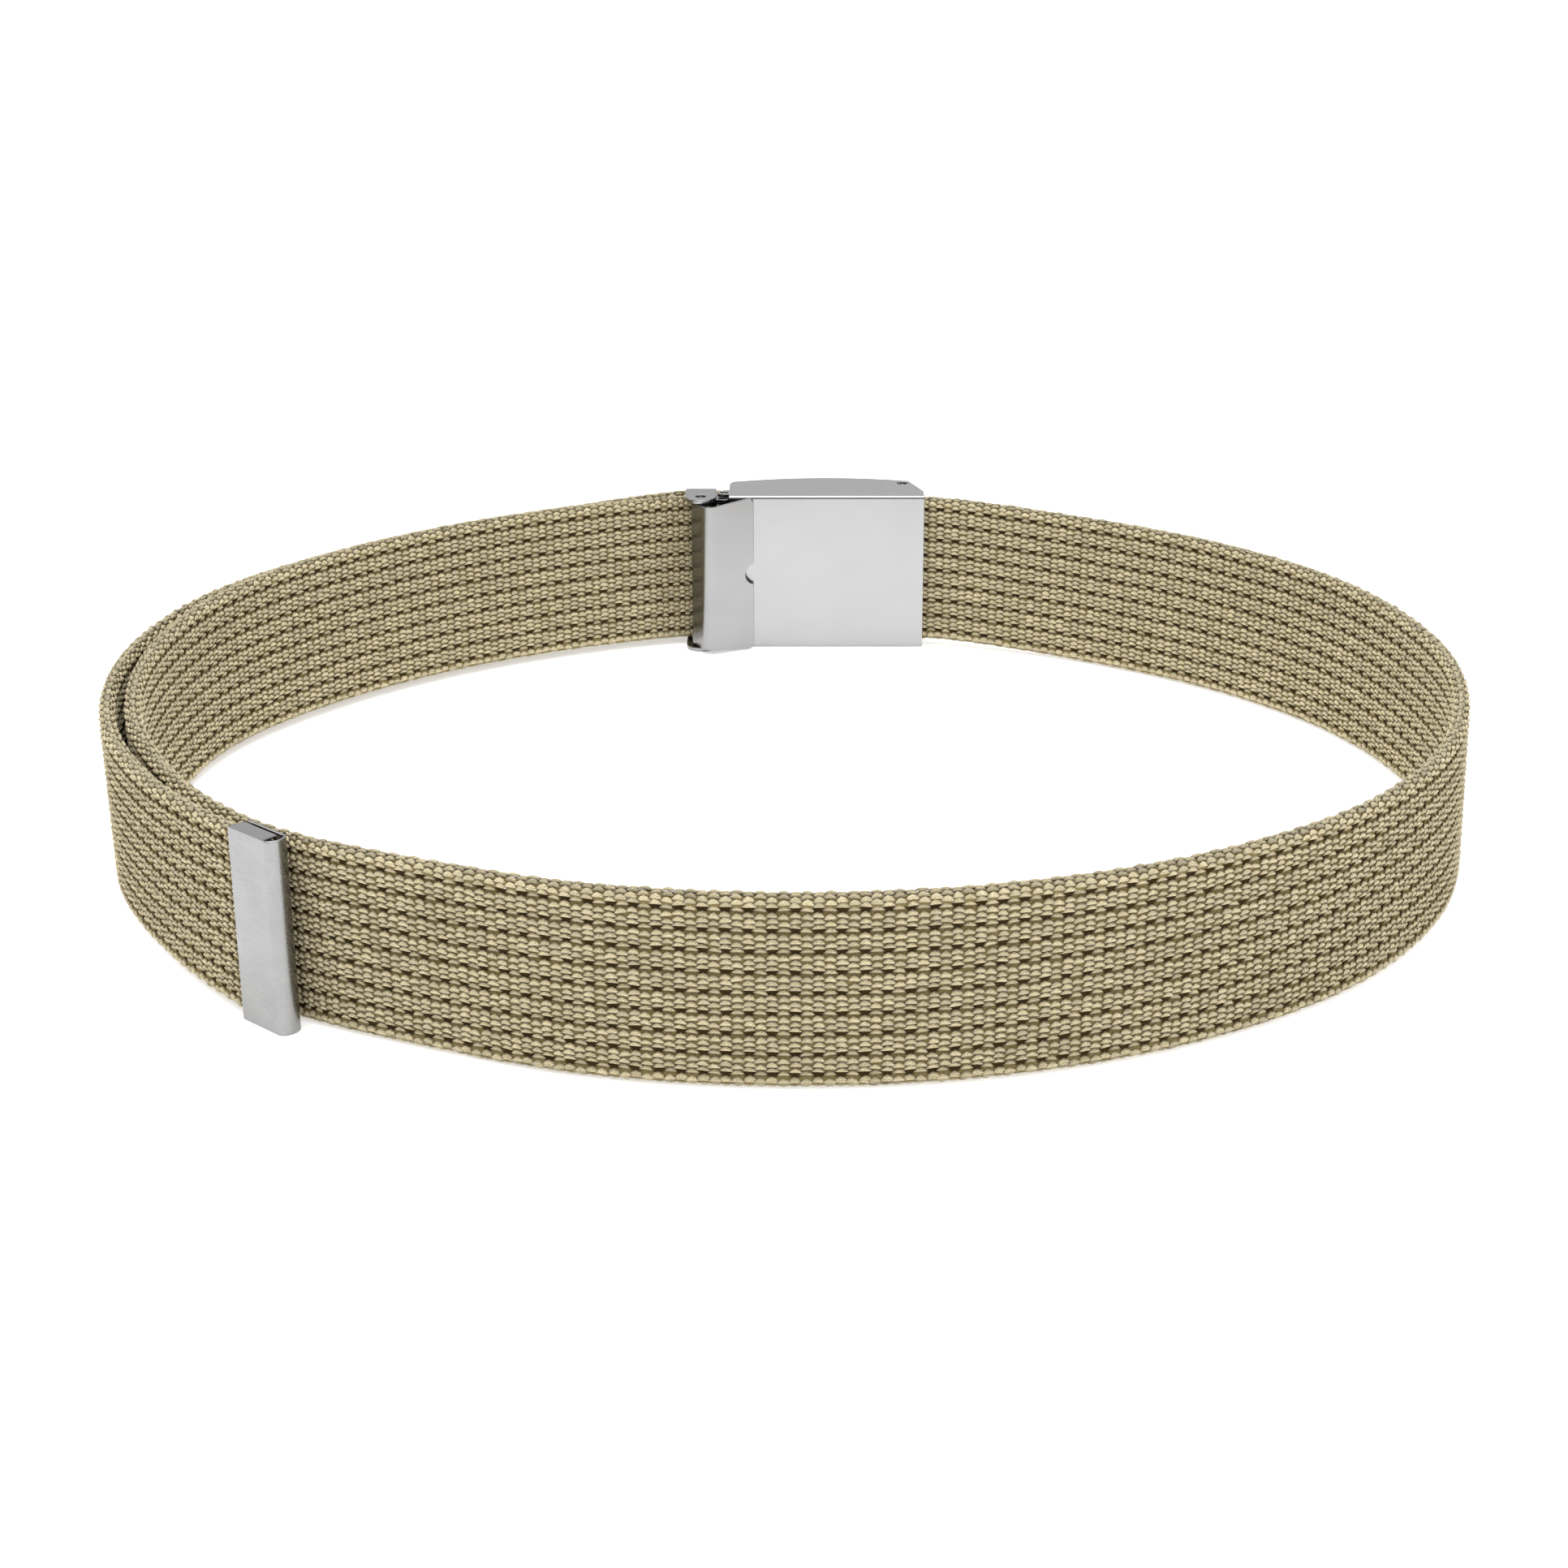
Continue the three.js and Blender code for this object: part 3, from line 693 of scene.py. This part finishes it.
@dataclass
class WebStrap:
    """The woven strap: a dark ribbed ground, with every yarn float on it as a small twisted lens."""

    path: StrapPath
    grooves: int = 9
    rib_share: float = 0.10625
    floats_per_rib: int = 3
    column_step: float = 2.085
    squeezed_share: float = 0.7
    clamp_zone: float = 24.0
    tip_zone: float = 9.0
    tip_centre: float = 2.0
    end_margin: float = 0.5
    float_length: float = 2.66
    float_height: float = 1.14
    float_depth: float = 0.78
    crest: float = 1.56
    groove_drop: float = 0.5
    pinch: float = 0.84
    rib_turn_deg: float = 30.0
    upward: float = 0.12
    foot: float = 0.42
    edge_band: float = 1.2
    arch: float = 0.5
    sag: float = 0.12
    ground_crest: float = 1.3
    ground_groove: float = 0.5
    ground_step: float = 1.6
    rim: tuple[tuple[float, float], ...] = ((0.55, 0.45), (1.0, 0.8))
    rim_crest: float = 0.5
    rim_slope: float = 0.8
    slope_rise: float = 0.75
    crown_parts: int = 4
    wander_along: float = 0.09
    wander_up: float = 0.045
    size_spread: float = 0.054
    most_spread: float = 2.0
    sway_deg: float = 3.0
    edge_tone: float = -0.9
    swing_rad: tuple[float, float, float] = (0.05, 0.05, 0.03)
    seed: int = 7
    pieces: int = 4

    @property
    def pitch(self) -> float:
        """Distance from groove to groove in millimetres."""
        return self.path.height * self.rib_share

    @property
    def first_groove(self) -> float:
        """Height of the lowest groove in millimetres."""
        return (self.path.height - (self.grooves - 1) * self.pitch) / 2

    def ground_section(self) -> list[tuple[float, float]]:
        """The ground's outline as out and up pairs in millimetres.

        Returns:
            The outline, outer face first.
        """
        edge = self.first_groove
        rise = self.ground_crest - self.ground_groove
        low = [
            *self.rim, (self.ground_crest, edge * self.rim_crest),
            (self.ground_groove + self.slope_rise * rise, edge * self.rim_slope),
        ]
        face = list(low)
        for groove in range(self.grooves - 1):
            for step in range(self.crown_parts):
                part = step / self.crown_parts
                crown = 1 - (2 * part - 1) ** 2
                face.append((self.ground_groove + rise * crown, edge + (groove + part) * self.pitch))
        face.append((self.ground_groove, edge + (self.grooves - 1) * self.pitch))
        face += [(out, self.path.height - up) for out, up in reversed(low)]
        return [*face, *[(-out, up) for out, up in reversed(face)]]

    def build_ground(self) -> bpy.types.Object:
        """Sweeps the ground along the path.

        Returns:
            A closed ribbed strap.
        """
        section = self.ground_section()
        steps = round(self.path.length / self.ground_step)
        along = np.repeat(np.linspace(0, self.path.length, steps + 1), len(section))
        outs = np.tile([out for out, _ in section], steps + 1)
        ups = np.tile([up for _, up in section], steps + 1)
        count = len(section)
        faces: list[tuple[int, ...]] = []
        for step in range(steps):
            for side in range(count):
                here, there = step * count, (step + 1) * count
                on = (side + 1) % count
                faces.append((here + side, there + side, there + on, here + on))
        for start, turned in ((0, False), (steps * count, True)):
            for k in range(count // 2 - 1):
                cap = (start + k, start + k + 1, start + count - 2 - k, start + count - 1 - k)
                faces.append(tuple(reversed(cap)) if turned else cap)
        made = mesh_object("web_ground", self.path.place(along, outs, ups), faces)
        # The material reads the column's number and the height from this layer, to paint shade into the
        # grooves.
        web = made.data.attributes.new("web", "FLOAT_VECTOR", "POINT")
        places = [place for place, _ in self.columns()]
        number = np.interp(along, places, np.arange(len(places)))
        table = np.stack([number, ups * MM, np.zeros(len(ups))], 1)
        web.data.foreach_set("vector", table.astype(np.float32).ravel())
        made.data.shade_smooth()
        return made

    def column_floats(self, odd: bool) -> list[YarnFloat]:
        """The floats of one column.

        Args:
            odd: True for the columns whose floats bridge the grooves.

        Returns:
            One float for each place on the outer face and the edges.
        """
        step = self.pitch / self.floats_per_rib
        height = self.path.height
        tight = step * self.pinch
        middle = self.pitch / 2 - self.sag
        offsets = (0.0, step, 2 * step) if odd else tuple(middle + k * tight for k in (-1, 0, 1))
        floats = []
        for groove in range(-1, self.grooves):
            for offset in offsets:
                up = self.first_groove + groove * self.pitch + offset
                fall = offset / (self.pitch / 2) - 1
                tilt = self.rib_turn_deg * fall if offset > 0 else 0.0
                if self.edge_band < up < height - self.edge_band:
                    floats.append(YarnFloat(self.crest - self.groove_drop * fall ** 2, up, tilt))
        for edge in BRIDGING_EDGE if odd else BETWEEN_EDGE:
            floats.append(YarnFloat(edge.out, height - edge.up, edge.tilt_deg, edge.size))
            floats.append(YarnFloat(edge.out, edge.up + self.foot, -edge.tilt_deg, edge.size))
        return floats

    def columns(self) -> list[tuple[float, float]]:
        """Every column's distance along the strap and its width as a share of the usual one.

        Returns:
            The columns, closer together in the clamp and beside the tip.
        """
        origin, _, _ = self.path.tip_axes()
        inner = self.path.spots[:, :2] - (origin[:2] + self.path.shift)
        half = len(inner) // 2
        beside = self.path.reach[np.argmin(np.linalg.norm(inner[:half], axis=1))]
        places = []
        along = self.column_step
        while along < self.path.length - self.end_margin:
            from_clamp = along / self.clamp_zone
            from_tip = abs(along - beside - self.tip_centre) / self.tip_zone
            ease = min(1.0, from_clamp, from_tip) ** 2
            share = self.squeezed_share + (1 - self.squeezed_share) * ease
            places.append((along, share))
            along += self.column_step * share
        return places

    def float_table(self) -> dict[str, np.ndarray]:
        """Places, directions and sizes of every float, on both faces.

        Returns:
            Arrays of the floats' places, facing and running directions, sizes and tones.
        """
        chance = np.random.default_rng(self.seed)
        table = []
        for column, (reach, width) in enumerate(self.columns()):
            for face in (1.0, -1.0):
                for one in self.column_floats(column % 2 == 1):
                    # The floats on the edge's middle belong to both faces, so the inner one skips them.
                    if one.out == 0.0 and face < 0:
                        continue
                    row = (reach, face * one.out, one.up, one.tilt_deg, face, one.size, column, width)
                    table.append(row)
        along, out, up, tilt_deg, side, size, number, share = np.array(table).T
        count = len(table)
        edge = np.abs(tilt_deg) > self.rib_turn_deg
        wander = chance.normal(0, 1, (count, 6))
        along = along + wander[:, 0] * self.wander_along
        up = up + wander[:, 1] * self.wander_up
        _, tangent, outward, _ = self.path.frames(along)
        tangent = tangent * side[:, None]
        tilt = np.radians(tilt_deg)
        facing = outward * (side * np.cos(tilt))[:, None]
        facing[:, 2] += np.sin(tilt) + self.upward * np.cos(tilt)
        sway = np.radians(self.sway_deg) * wander[:, 2]
        rise = np.cross(facing, tangent)
        running = tangent * np.cos(sway)[:, None] + rise * np.sin(sway)[:, None]
        spread = self.size_spread * wander[:, 3:6].clip(-self.most_spread, self.most_spread)
        sizes = size[:, None] * (1 + spread)
        sizes[:, 0] *= share
        return {
            "place": self.path.place(along, out, up),
            "facing": facing,
            "running": running,
            "size": sizes,
            "tone": chance.uniform(0, 1, count) + self.edge_tone * edge,
            "column": number,
        }

    def build_lens(self) -> bpy.types.Object:
        """One float of unit length, height and depth, pointed at both ends and full in the middle.

        Returns:
            A closed shape of a few faces, which the tree repeats.
        """
        base = -0.1
        outline = (
            (0.5, 0.06), (0.27, 0.36), (0.0, 0.5), (-0.27, 0.36),
            (-0.5, 0.06), (-0.27, -0.38), (0.0, -0.5), (0.27, -0.38),
        )
        ridge = [(0.25, 0.0, 0.4), (0.0, -0.02, 0.5), (-0.25, 0.0, 0.4)]
        flat = [(x, y, base) for x, y in outline] + ridge
        # The middle rises by half the arch and the ends drop by as much.
        points = [(x, y + self.arch * (0.5 - (2 * x) ** 2), z) for x, y, z in flat]
        faces = [
            (0, 1, 8), (1, 2, 9, 8), (2, 3, 10, 9), (3, 4, 10),
            (4, 5, 10), (5, 6, 9, 10), (6, 7, 8, 9), (7, 0, 8),
            (7, 6, 5, 4, 3, 2, 1, 0),
        ]
        lens = mesh_object("lens", np.array(points), faces)
        yarn = lens.data.attributes.new("yarn", "FLOAT_VECTOR", "POINT")
        yarn.data.foreach_set("vector", np.array(flat, np.float32).ravel())
        lens.data.shade_smooth()
        return lens

    def build_tree(self) -> bpy.types.NodeTree:
        """The tree that puts a lens on each point, turned and scaled by the point's own values.

        Returns:
            The tree, with named inputs for the float's sizes, its shape and its material.
        """
        tree = bpy.data.node_groups.new("yarn_floats", "GeometryNodeTree")
        face = tree.interface
        face.new_socket("Geometry", in_out="OUTPUT", socket_type="NodeSocketGeometry")
        for name, kind in (
            ("Geometry", "NodeSocketGeometry"), ("Lens", "NodeSocketObject"),
            ("Finish", "NodeSocketMaterial"),
            ("Float Length", "NodeSocketFloat"), ("Float Height", "NodeSocketFloat"),
            ("Float Depth", "NodeSocketFloat"), ("Seed", "NodeSocketInt"),
        ):
            face.new_socket(name, in_out="INPUT", socket_type=kind)
        entry = add_node(tree, "NodeGroupInput").outputs
        lens = add_node(tree, "GeometryNodeObjectInfo", None, {"Object": entry["Lens"]})
        stored = {"data_type": "FLOAT_VECTOR"}
        vectors = {
            name: add_node(tree, "GeometryNodeInputNamedAttribute", stored, {"Name": name}).outputs[0]
            for name in VECTOR_LAYERS
        }
        axes = {"primary_axis": "Z", "secondary_axis": "X"}
        turn = add_node(tree, "FunctionNodeAxesToRotation", axes, {
            "Primary Axis": vectors["facing"], "Secondary Axis": vectors["running"],
        })
        sizes = add_node(tree, "ShaderNodeCombineXYZ", None, {
            "X": entry["Float Length"], "Y": entry["Float Height"], "Z": entry["Float Depth"],
        })
        scale = add_node(tree, "ShaderNodeVectorMath", {"operation": "MULTIPLY"}, {
            0: sizes.outputs[0], 1: vectors["size"],
        })
        chance = add_node(tree, "FunctionNodeRandomValue", {"data_type": "FLOAT_VECTOR"}, {
            0: [-angle for angle in self.swing_rad], 1: self.swing_rad, "Seed": entry["Seed"],
        })
        swing = add_node(tree, "FunctionNodeEulerToRotation", None, {0: chance.outputs[0]})
        turned = add_node(tree, "FunctionNodeRotateRotation", {"rotation_space": "LOCAL"}, {
            0: turn.outputs[0], 1: swing.outputs[0],
        })
        set_out = add_node(tree, "GeometryNodeInstanceOnPoints", None, {
            "Points": entry["Geometry"], "Instance": lens.outputs["Geometry"],
            "Rotation": turned.outputs[0], "Scale": scale.outputs[0],
        })
        real = add_node(tree, "GeometryNodeRealizeInstances", None, {0: set_out.outputs[0]})
        dressed = add_node(tree, "GeometryNodeSetMaterial", None, {
            "Geometry": real.outputs[0], "Material": entry["Finish"],
        })
        add_node(tree, "NodeGroupOutput", None, {0: dressed.outputs[0]})
        return tree

    def build_floats(self, finish: bpy.types.Material) -> list[bpy.types.Object]:
        """Sets the floats out along the strap, in a few pieces.

        Args:
            finish: The yarn's material.

        Returns:
            The pieces as plain meshes.
        """
        table = self.float_table()
        lens = self.build_lens()
        tree = self.build_tree()
        values = {
            "Lens": lens, "Finish": finish, "Float Length": self.float_length * MM,
            "Float Height": self.float_height * MM, "Float Depth": self.float_depth * MM,
            "Seed": self.seed,
        }
        columns = table["column"]
        borders = np.linspace(0, columns.max() + 1, self.pieces + 1)
        made = []
        for number in range(self.pieces):
            chosen = (columns >= borders[number]) & (columns < borders[number + 1])
            seeds = mesh_object(f"web_yarn_{number + 1}", table["place"][chosen], [])
            for name in VECTOR_LAYERS:
                layer = seeds.data.attributes.new(name, "FLOAT_VECTOR", "POINT")
                layer.data.foreach_set("vector", table[name][chosen].astype(np.float32).ravel())
            tone = seeds.data.attributes.new("tone", "FLOAT", "POINT")
            tone.data.foreach_set("value", table["tone"][chosen].astype(np.float32))
            made.append(settle(seeds, tree, values))
        bpy.data.objects.remove(lens)
        return made


def settle(made: bpy.types.Object, tree: bpy.types.NodeTree, values: dict[str, Any]) -> bpy.types.Object:
    """Runs a geometry tree on an object and keeps its result as a plain mesh.

    Args:
        made: The object that the tree starts from.
        tree: The tree.
        values: A value for each of the tree's named inputs.

    Returns:
        The same object with the result as its mesh.
    """
    modifier = made.modifiers.new("tree", "NODES")
    modifier.node_group = tree
    for socket in tree.interface.items_tree:
        if socket.in_out == "INPUT" and socket.name in values:
            modifier[socket.identifier] = values[socket.name]
    graph = bpy.context.evaluated_depsgraph_get()
    result = made.evaluated_get(graph)
    mesh = bpy.data.meshes.new_from_object(result, preserve_all_data_layers=True, depsgraph=graph)
    made.modifiers.remove(modifier)
    made.data = mesh
    return made


@dataclass
class MetalPiece:
    """A piece of metal sheet or bar: the solid's own mesh with its sharp edges eased."""

    node: str
    body: str
    slot: str
    finish: bpy.types.Material
    edge: float = 0.12
    segments: int = 2
    sharp_deg: float = 32.0
    weld_mm: float = 0.002
    level_deg: float = 0.6
    normal_weight: int = 80

    def build(self, source: bpy.types.Object) -> bpy.types.Object:
        """Copies the solid, joins its loose triangles and eases its edges.

        Args:
            source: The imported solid.

        Returns:
            The piece, riding on its body.
        """
        work = bmesh.new()
        work.from_mesh(source.data)
        bmesh.ops.remove_doubles(work, verts=work.verts, dist=self.weld_mm * MM)
        level = math.radians(self.level_deg)
        bmesh.ops.dissolve_limit(work, angle_limit=level, verts=work.verts, edges=work.edges)
        mesh = bpy.data.meshes.new(f"{self.node}_eased")
        work.to_mesh(mesh)
        work.free()
        made = bpy.data.objects.new(f"{self.node}_eased", mesh)
        bpy.context.scene.collection.objects.link(made)
        mesh.materials.clear()
        mesh.materials.append(self.finish)
        mesh.shade_smooth()
        bevel = made.modifiers.new("eased", "BEVEL")
        bevel.width = self.edge * MM
        bevel.segments = self.segments
        bevel.limit_method = "ANGLE"
        bevel.angle_limit = math.radians(self.sharp_deg)
        flat = made.modifiers.new("flat", "WEIGHTED_NORMAL")
        flat.mode = "FACE_AREA"
        flat.weight = self.normal_weight
        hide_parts(self.node)
        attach(made, self.body)
        return made


@dataclass
class Pin:
    """A riveted pin: its narrow domed end shines in the hole, and its shoulder is painted near black as
    painted shade in the hole round it.
    """

    node: str
    head: bpy.types.Material
    shoulder: bpy.types.Material
    recess: float = 0.8
    head_share: float = 0.52
    head_rise: float = 0.45
    head_rings: tuple[float, ...] = (0.35, 0.7, 1.0)
    shoulder_share: float = 0.97
    chamfer: float = 0.05
    sides: int = 28

    def profile(self, radius: float, low: float, high: float) -> list[tuple[float, float]]:
        """The pin's outline from its lower end to its upper end.

        Args:
            radius: The pin's radius in metres.
            low: Height of its lower shoulder.
            high: Height of its upper shoulder.

        Returns:
            Radius and height pairs.
        """
        rise = self.head_rise * MM
        head = [(ring * self.head_share * radius, rise * (1 - ring ** 2)) for ring in self.head_rings]
        lower = [(r, low - h) for r, h in head]
        upper = [(r, high + h) for r, h in reversed(head)]
        shoulder, chamfer = radius * self.shoulder_share, self.chamfer * MM
        barrel = [(shoulder, low), (radius, low + chamfer), (radius, high - chamfer), (shoulder, high)]
        return [*lower, *barrel, *upper]

    def build(self, source: bpy.types.Object) -> bpy.types.Object:
        """Turns the pin round its own axis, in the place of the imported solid.

        Args:
            source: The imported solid.

        Returns:
            The pin, riding on the belt.
        """
        low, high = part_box(source.name)
        centre = (low + high) / 2
        recess = self.recess * MM
        rings = self.profile((high.x - low.x) / 2, low.z + recess, high.z - recess)
        angles = np.arange(self.sides) * 2 * math.pi / self.sides
        points = [
            (centre.x + r * math.cos(a), centre.y + r * math.sin(a), z) for r, z in rings for a in angles
        ]
        faces = [tuple(reversed(range(self.sides)))]
        for ring in range(len(rings) - 1):
            for side in range(self.sides):
                here, there = ring * self.sides, (ring + 1) * self.sides
                on = (side + 1) % self.sides
                faces.append((here + side, here + on, there + on, there + side))
        faces.append(tuple(range((len(rings) - 1) * self.sides, len(rings) * self.sides)))
        made = mesh_object(f"{self.node}_turned", np.array(points), faces)
        made.data.materials.append(self.head)
        made.data.materials.append(self.shoulder)
        half = (high.z - low.z) / 2 - recess + self.chamfer * MM / 2
        # The barrel and shoulders take the near black painted shade; the domed ends take the bright steel.
        for face in made.data.polygons:
            face.material_index = 0 if abs(face.center.z - centre.z) > half else 1
        made.data.shade_smooth()
        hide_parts(self.node)
        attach(made, BELT_BODY)
        return made


@dataclass(frozen=True)
class SoftBox:
    """One square soft light that faces the belt: its place and side in metres and its power in watts."""

    name: str
    place: tuple[float, float, float]
    side: float
    power: float

    def build(self) -> None:
        """Hangs the light."""
        data = bpy.data.lights.new(self.name, "AREA")
        data.size = self.side
        data.energy = self.power
        light = bpy.data.objects.new(self.name, data)
        light.location = self.place
        light.rotation_euler = (-Vector(self.place)).to_track_quat("-Z", "Y").to_euler()
        bpy.context.scene.collection.objects.link(light)


SOFT_BOXES = (
    SoftBox("softbox_top", (-0.1, -0.1, 1.25), 1.0, 13.5),
    SoftBox("softbox_left", (-1.7, 0.1, 0.8), 0.8, 7.0),
    SoftBox("softbox_front", (0.7, -1.5, 1.0), 0.9, 3.0),
    SoftBox("softbox_right", (1.6, -0.8, 0.5), 0.7, 5.0),
    SoftBox("softbox_back", (0.0, 2.0, 0.95), 1.5, 2.2),
)


@dataclass
class Studio:
    """A white floor, soft lights round the object and the camera of the photograph."""

    camera_place: tuple[float, float, float] = (-1.85, -629.0, 248.2)
    pitch_deg: float = 20.96
    yaw_deg: float = 0.0931
    focal_pixels: float = 3691.0
    frame_pixels: float = 1932.0
    sensor_mm: float = 36.0
    nearest: float = 0.01
    farthest: float = 50.0
    floor_size: float = 12.0
    floor_drop_mm: float = 0.05
    floor_colour: str = "#FFFFFF"
    floor_roughness: float = 0.9
    floor_glow: float = 0.42
    horizon_colour: str = "#4A4A4A"
    wall_colour: str = "#A6A6A6"
    wall_height: float = 0.16
    low_sky_colour: str = "#E2E2E2"
    low_sky_height: float = 0.36
    zenith_colour: str = "#FFFFFF"
    sky_strength: float = 0.95

    def build_camera(self) -> None:
        """Sets the camera at the photograph's viewpoint."""
        data = bpy.data.cameras.new("camera")
        data.sensor_width = self.sensor_mm
        data.lens = self.focal_pixels / self.frame_pixels * self.sensor_mm
        data.clip_start, data.clip_end = self.nearest, self.farthest
        camera = bpy.data.objects.new("camera", data)
        camera.location = Vector(self.camera_place) * MM
        # A camera looks straight down until it is turned up by a right angle less its pitch.
        camera.rotation_euler = (math.pi / 2 - math.radians(self.pitch_deg), 0.0, -math.radians(self.yaw_deg))
        bpy.context.scene.collection.objects.link(camera)
        bpy.context.scene.camera = camera

    def build_floor(self) -> None:
        """A flat white floor that glows a little, as a light table does."""
        half = self.floor_size / 2
        corners = np.array([(-half, -half, 0), (half, -half, 0), (half, half, 0), (-half, half, 0)])
        corners[:, 2] = -self.floor_drop_mm * MM
        floor = mesh_object("studio_floor", corners, [(0, 1, 2, 3)])
        material, tree, output = new_material("white_studio_floor")
        add_surface(tree, output, {
            "Base Color": linear(self.floor_colour), "Roughness": self.floor_roughness,
            "Specular IOR Level": 0.0,
            "Emission Color": linear(self.floor_colour), "Emission Strength": self.floor_glow,
        })
        floor.data.materials.append(material)

    def build_sky(self) -> None:
        """A pale sky that is greyer low down, as the walls of a studio are."""
        world = bpy.data.worlds.new("studio")
        world.use_nodes = True
        tree = world.node_tree
        place = add_node(tree, "ShaderNodeTexCoord").outputs["Generated"]
        height = add_node(tree, "ShaderNodeSeparateXYZ", None, {0: place})
        ramp = add_node(tree, "ShaderNodeValToRGB", None, {"Fac": height.outputs["Z"]})
        ramp.color_ramp.elements[0].color = linear(self.horizon_colour)
        ramp.color_ramp.elements[1].color = linear(self.zenith_colour)
        ramp.color_ramp.elements.new(self.wall_height).color = linear(self.wall_colour)
        ramp.color_ramp.elements.new(self.low_sky_height).color = linear(self.low_sky_colour)
        sky = tree.nodes["Background"]
        sky.inputs["Strength"].default_value = self.sky_strength
        tree.links.new(ramp.outputs["Color"], sky.inputs["Color"])
        bpy.context.scene.world = world

    def build(self) -> None:
        """Makes the camera, the floor, the lights and the sky."""
        self.build_camera()
        self.build_floor()
        for box in SOFT_BOXES:
            box.build()
        self.build_sky()
        bpy.context.scene.view_settings.view_transform = "Standard"


@dataclass
class Belt:
    """The whole belt: strap, buckle, clamp and tip."""

    nodes: dict[str, bpy.types.Object]

    def build_strap(self) -> list[bpy.types.Object]:
        """Weaves the strap.

        Returns:
            Its pieces.
        """
        strap = WebStrap(StrapPath())
        ground = strap.build_ground()
        ground.data.materials.append(ShadedGround().build(strap.pitch * MM, strap.first_groove * MM))
        pieces = [ground, *strap.build_floats(CottonYarn().build())]
        for piece in pieces:
            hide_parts("web_strap")
            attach(piece, BELT_BODY)
        return pieces

    def build_metal(self) -> list[bpy.types.Object]:
        """Dresses the buckle, the clamp and the tip.

        Returns:
            Their pieces.
        """
        _, along, _ = StrapPath().tip_axes()
        turn = math.degrees(math.atan2(along[1], along[0]))
        buckle = SatinNickel().build(Brush.ALONG_BUCKLE)
        # The clamp's copy is darker than the buckle's, as painted shade for the dimmer reflection of its
        # tilted flap.
        fine = SatinNickel(bright="#99999A", dull="#8F8F90", line_depth_mm=0.003).build(Brush.FINE)
        # The tip's copy is darker than the buckle's, as painted shade for the darker surroundings that its
        # outward lean reflects; its coarser lines are its real brushing.
        brushed = SatinNickel(
            bright="#9A9A9A", dull="#848485", roughness=0.28, roughness_spread=0.09,
            line_spacing_mm=0.3, line_depth_mm=0.012, tip_turn_deg=turn,
        ).build(Brush.ALONG_TIP)
        steel = PinSteel().build()
        # Near black steel painted on the pin's shoulders, as painted shade in the holes.
        shadow = PinSteel(name="painted_shade_pin_steel", colour="#1C1C1C", roughness=0.5).build()
        pieces = [
            MetalPiece("buckle_box", BELT_BODY, "satin_nickel", buckle),
            MetalPiece("front_cover", BELT_BODY, "satin_nickel", buckle),
            MetalPiece("clamp_bracket", BELT_BODY, "satin_nickel", fine),
            MetalPiece("clamp_flap", FLAP_BODY, "satin_nickel", fine, edge=0.26, segments=3),
            MetalPiece("belt_tip", BELT_BODY, "satin_nickel", brushed, edge=0.24, segments=3),
            MetalPiece("grip_bar", BELT_BODY, "pin_steel", steel, edge=0.3),
            Pin("cover_pin", steel, shadow),
            Pin("clamp_pin", steel, shadow),
            Pin("swivel_pin", steel, shadow, recess=0.5),
        ]
        return [piece.build(self.nodes[piece.node]) for piece in pieces]


def main() -> None:
    """Builds the belt and its studio, and reports each piece."""
    logging.basicConfig(level=logging.INFO, format="%(name)s %(message)s")
    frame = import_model()
    Studio().build()
    belt = Belt(frame["nodes"])
    for piece in [*belt.build_strap(), *belt.build_metal()]:
        log.info("%s: %d faces", piece.name, len(piece.data.polygons))


if __name__ == "__main__":
    main()
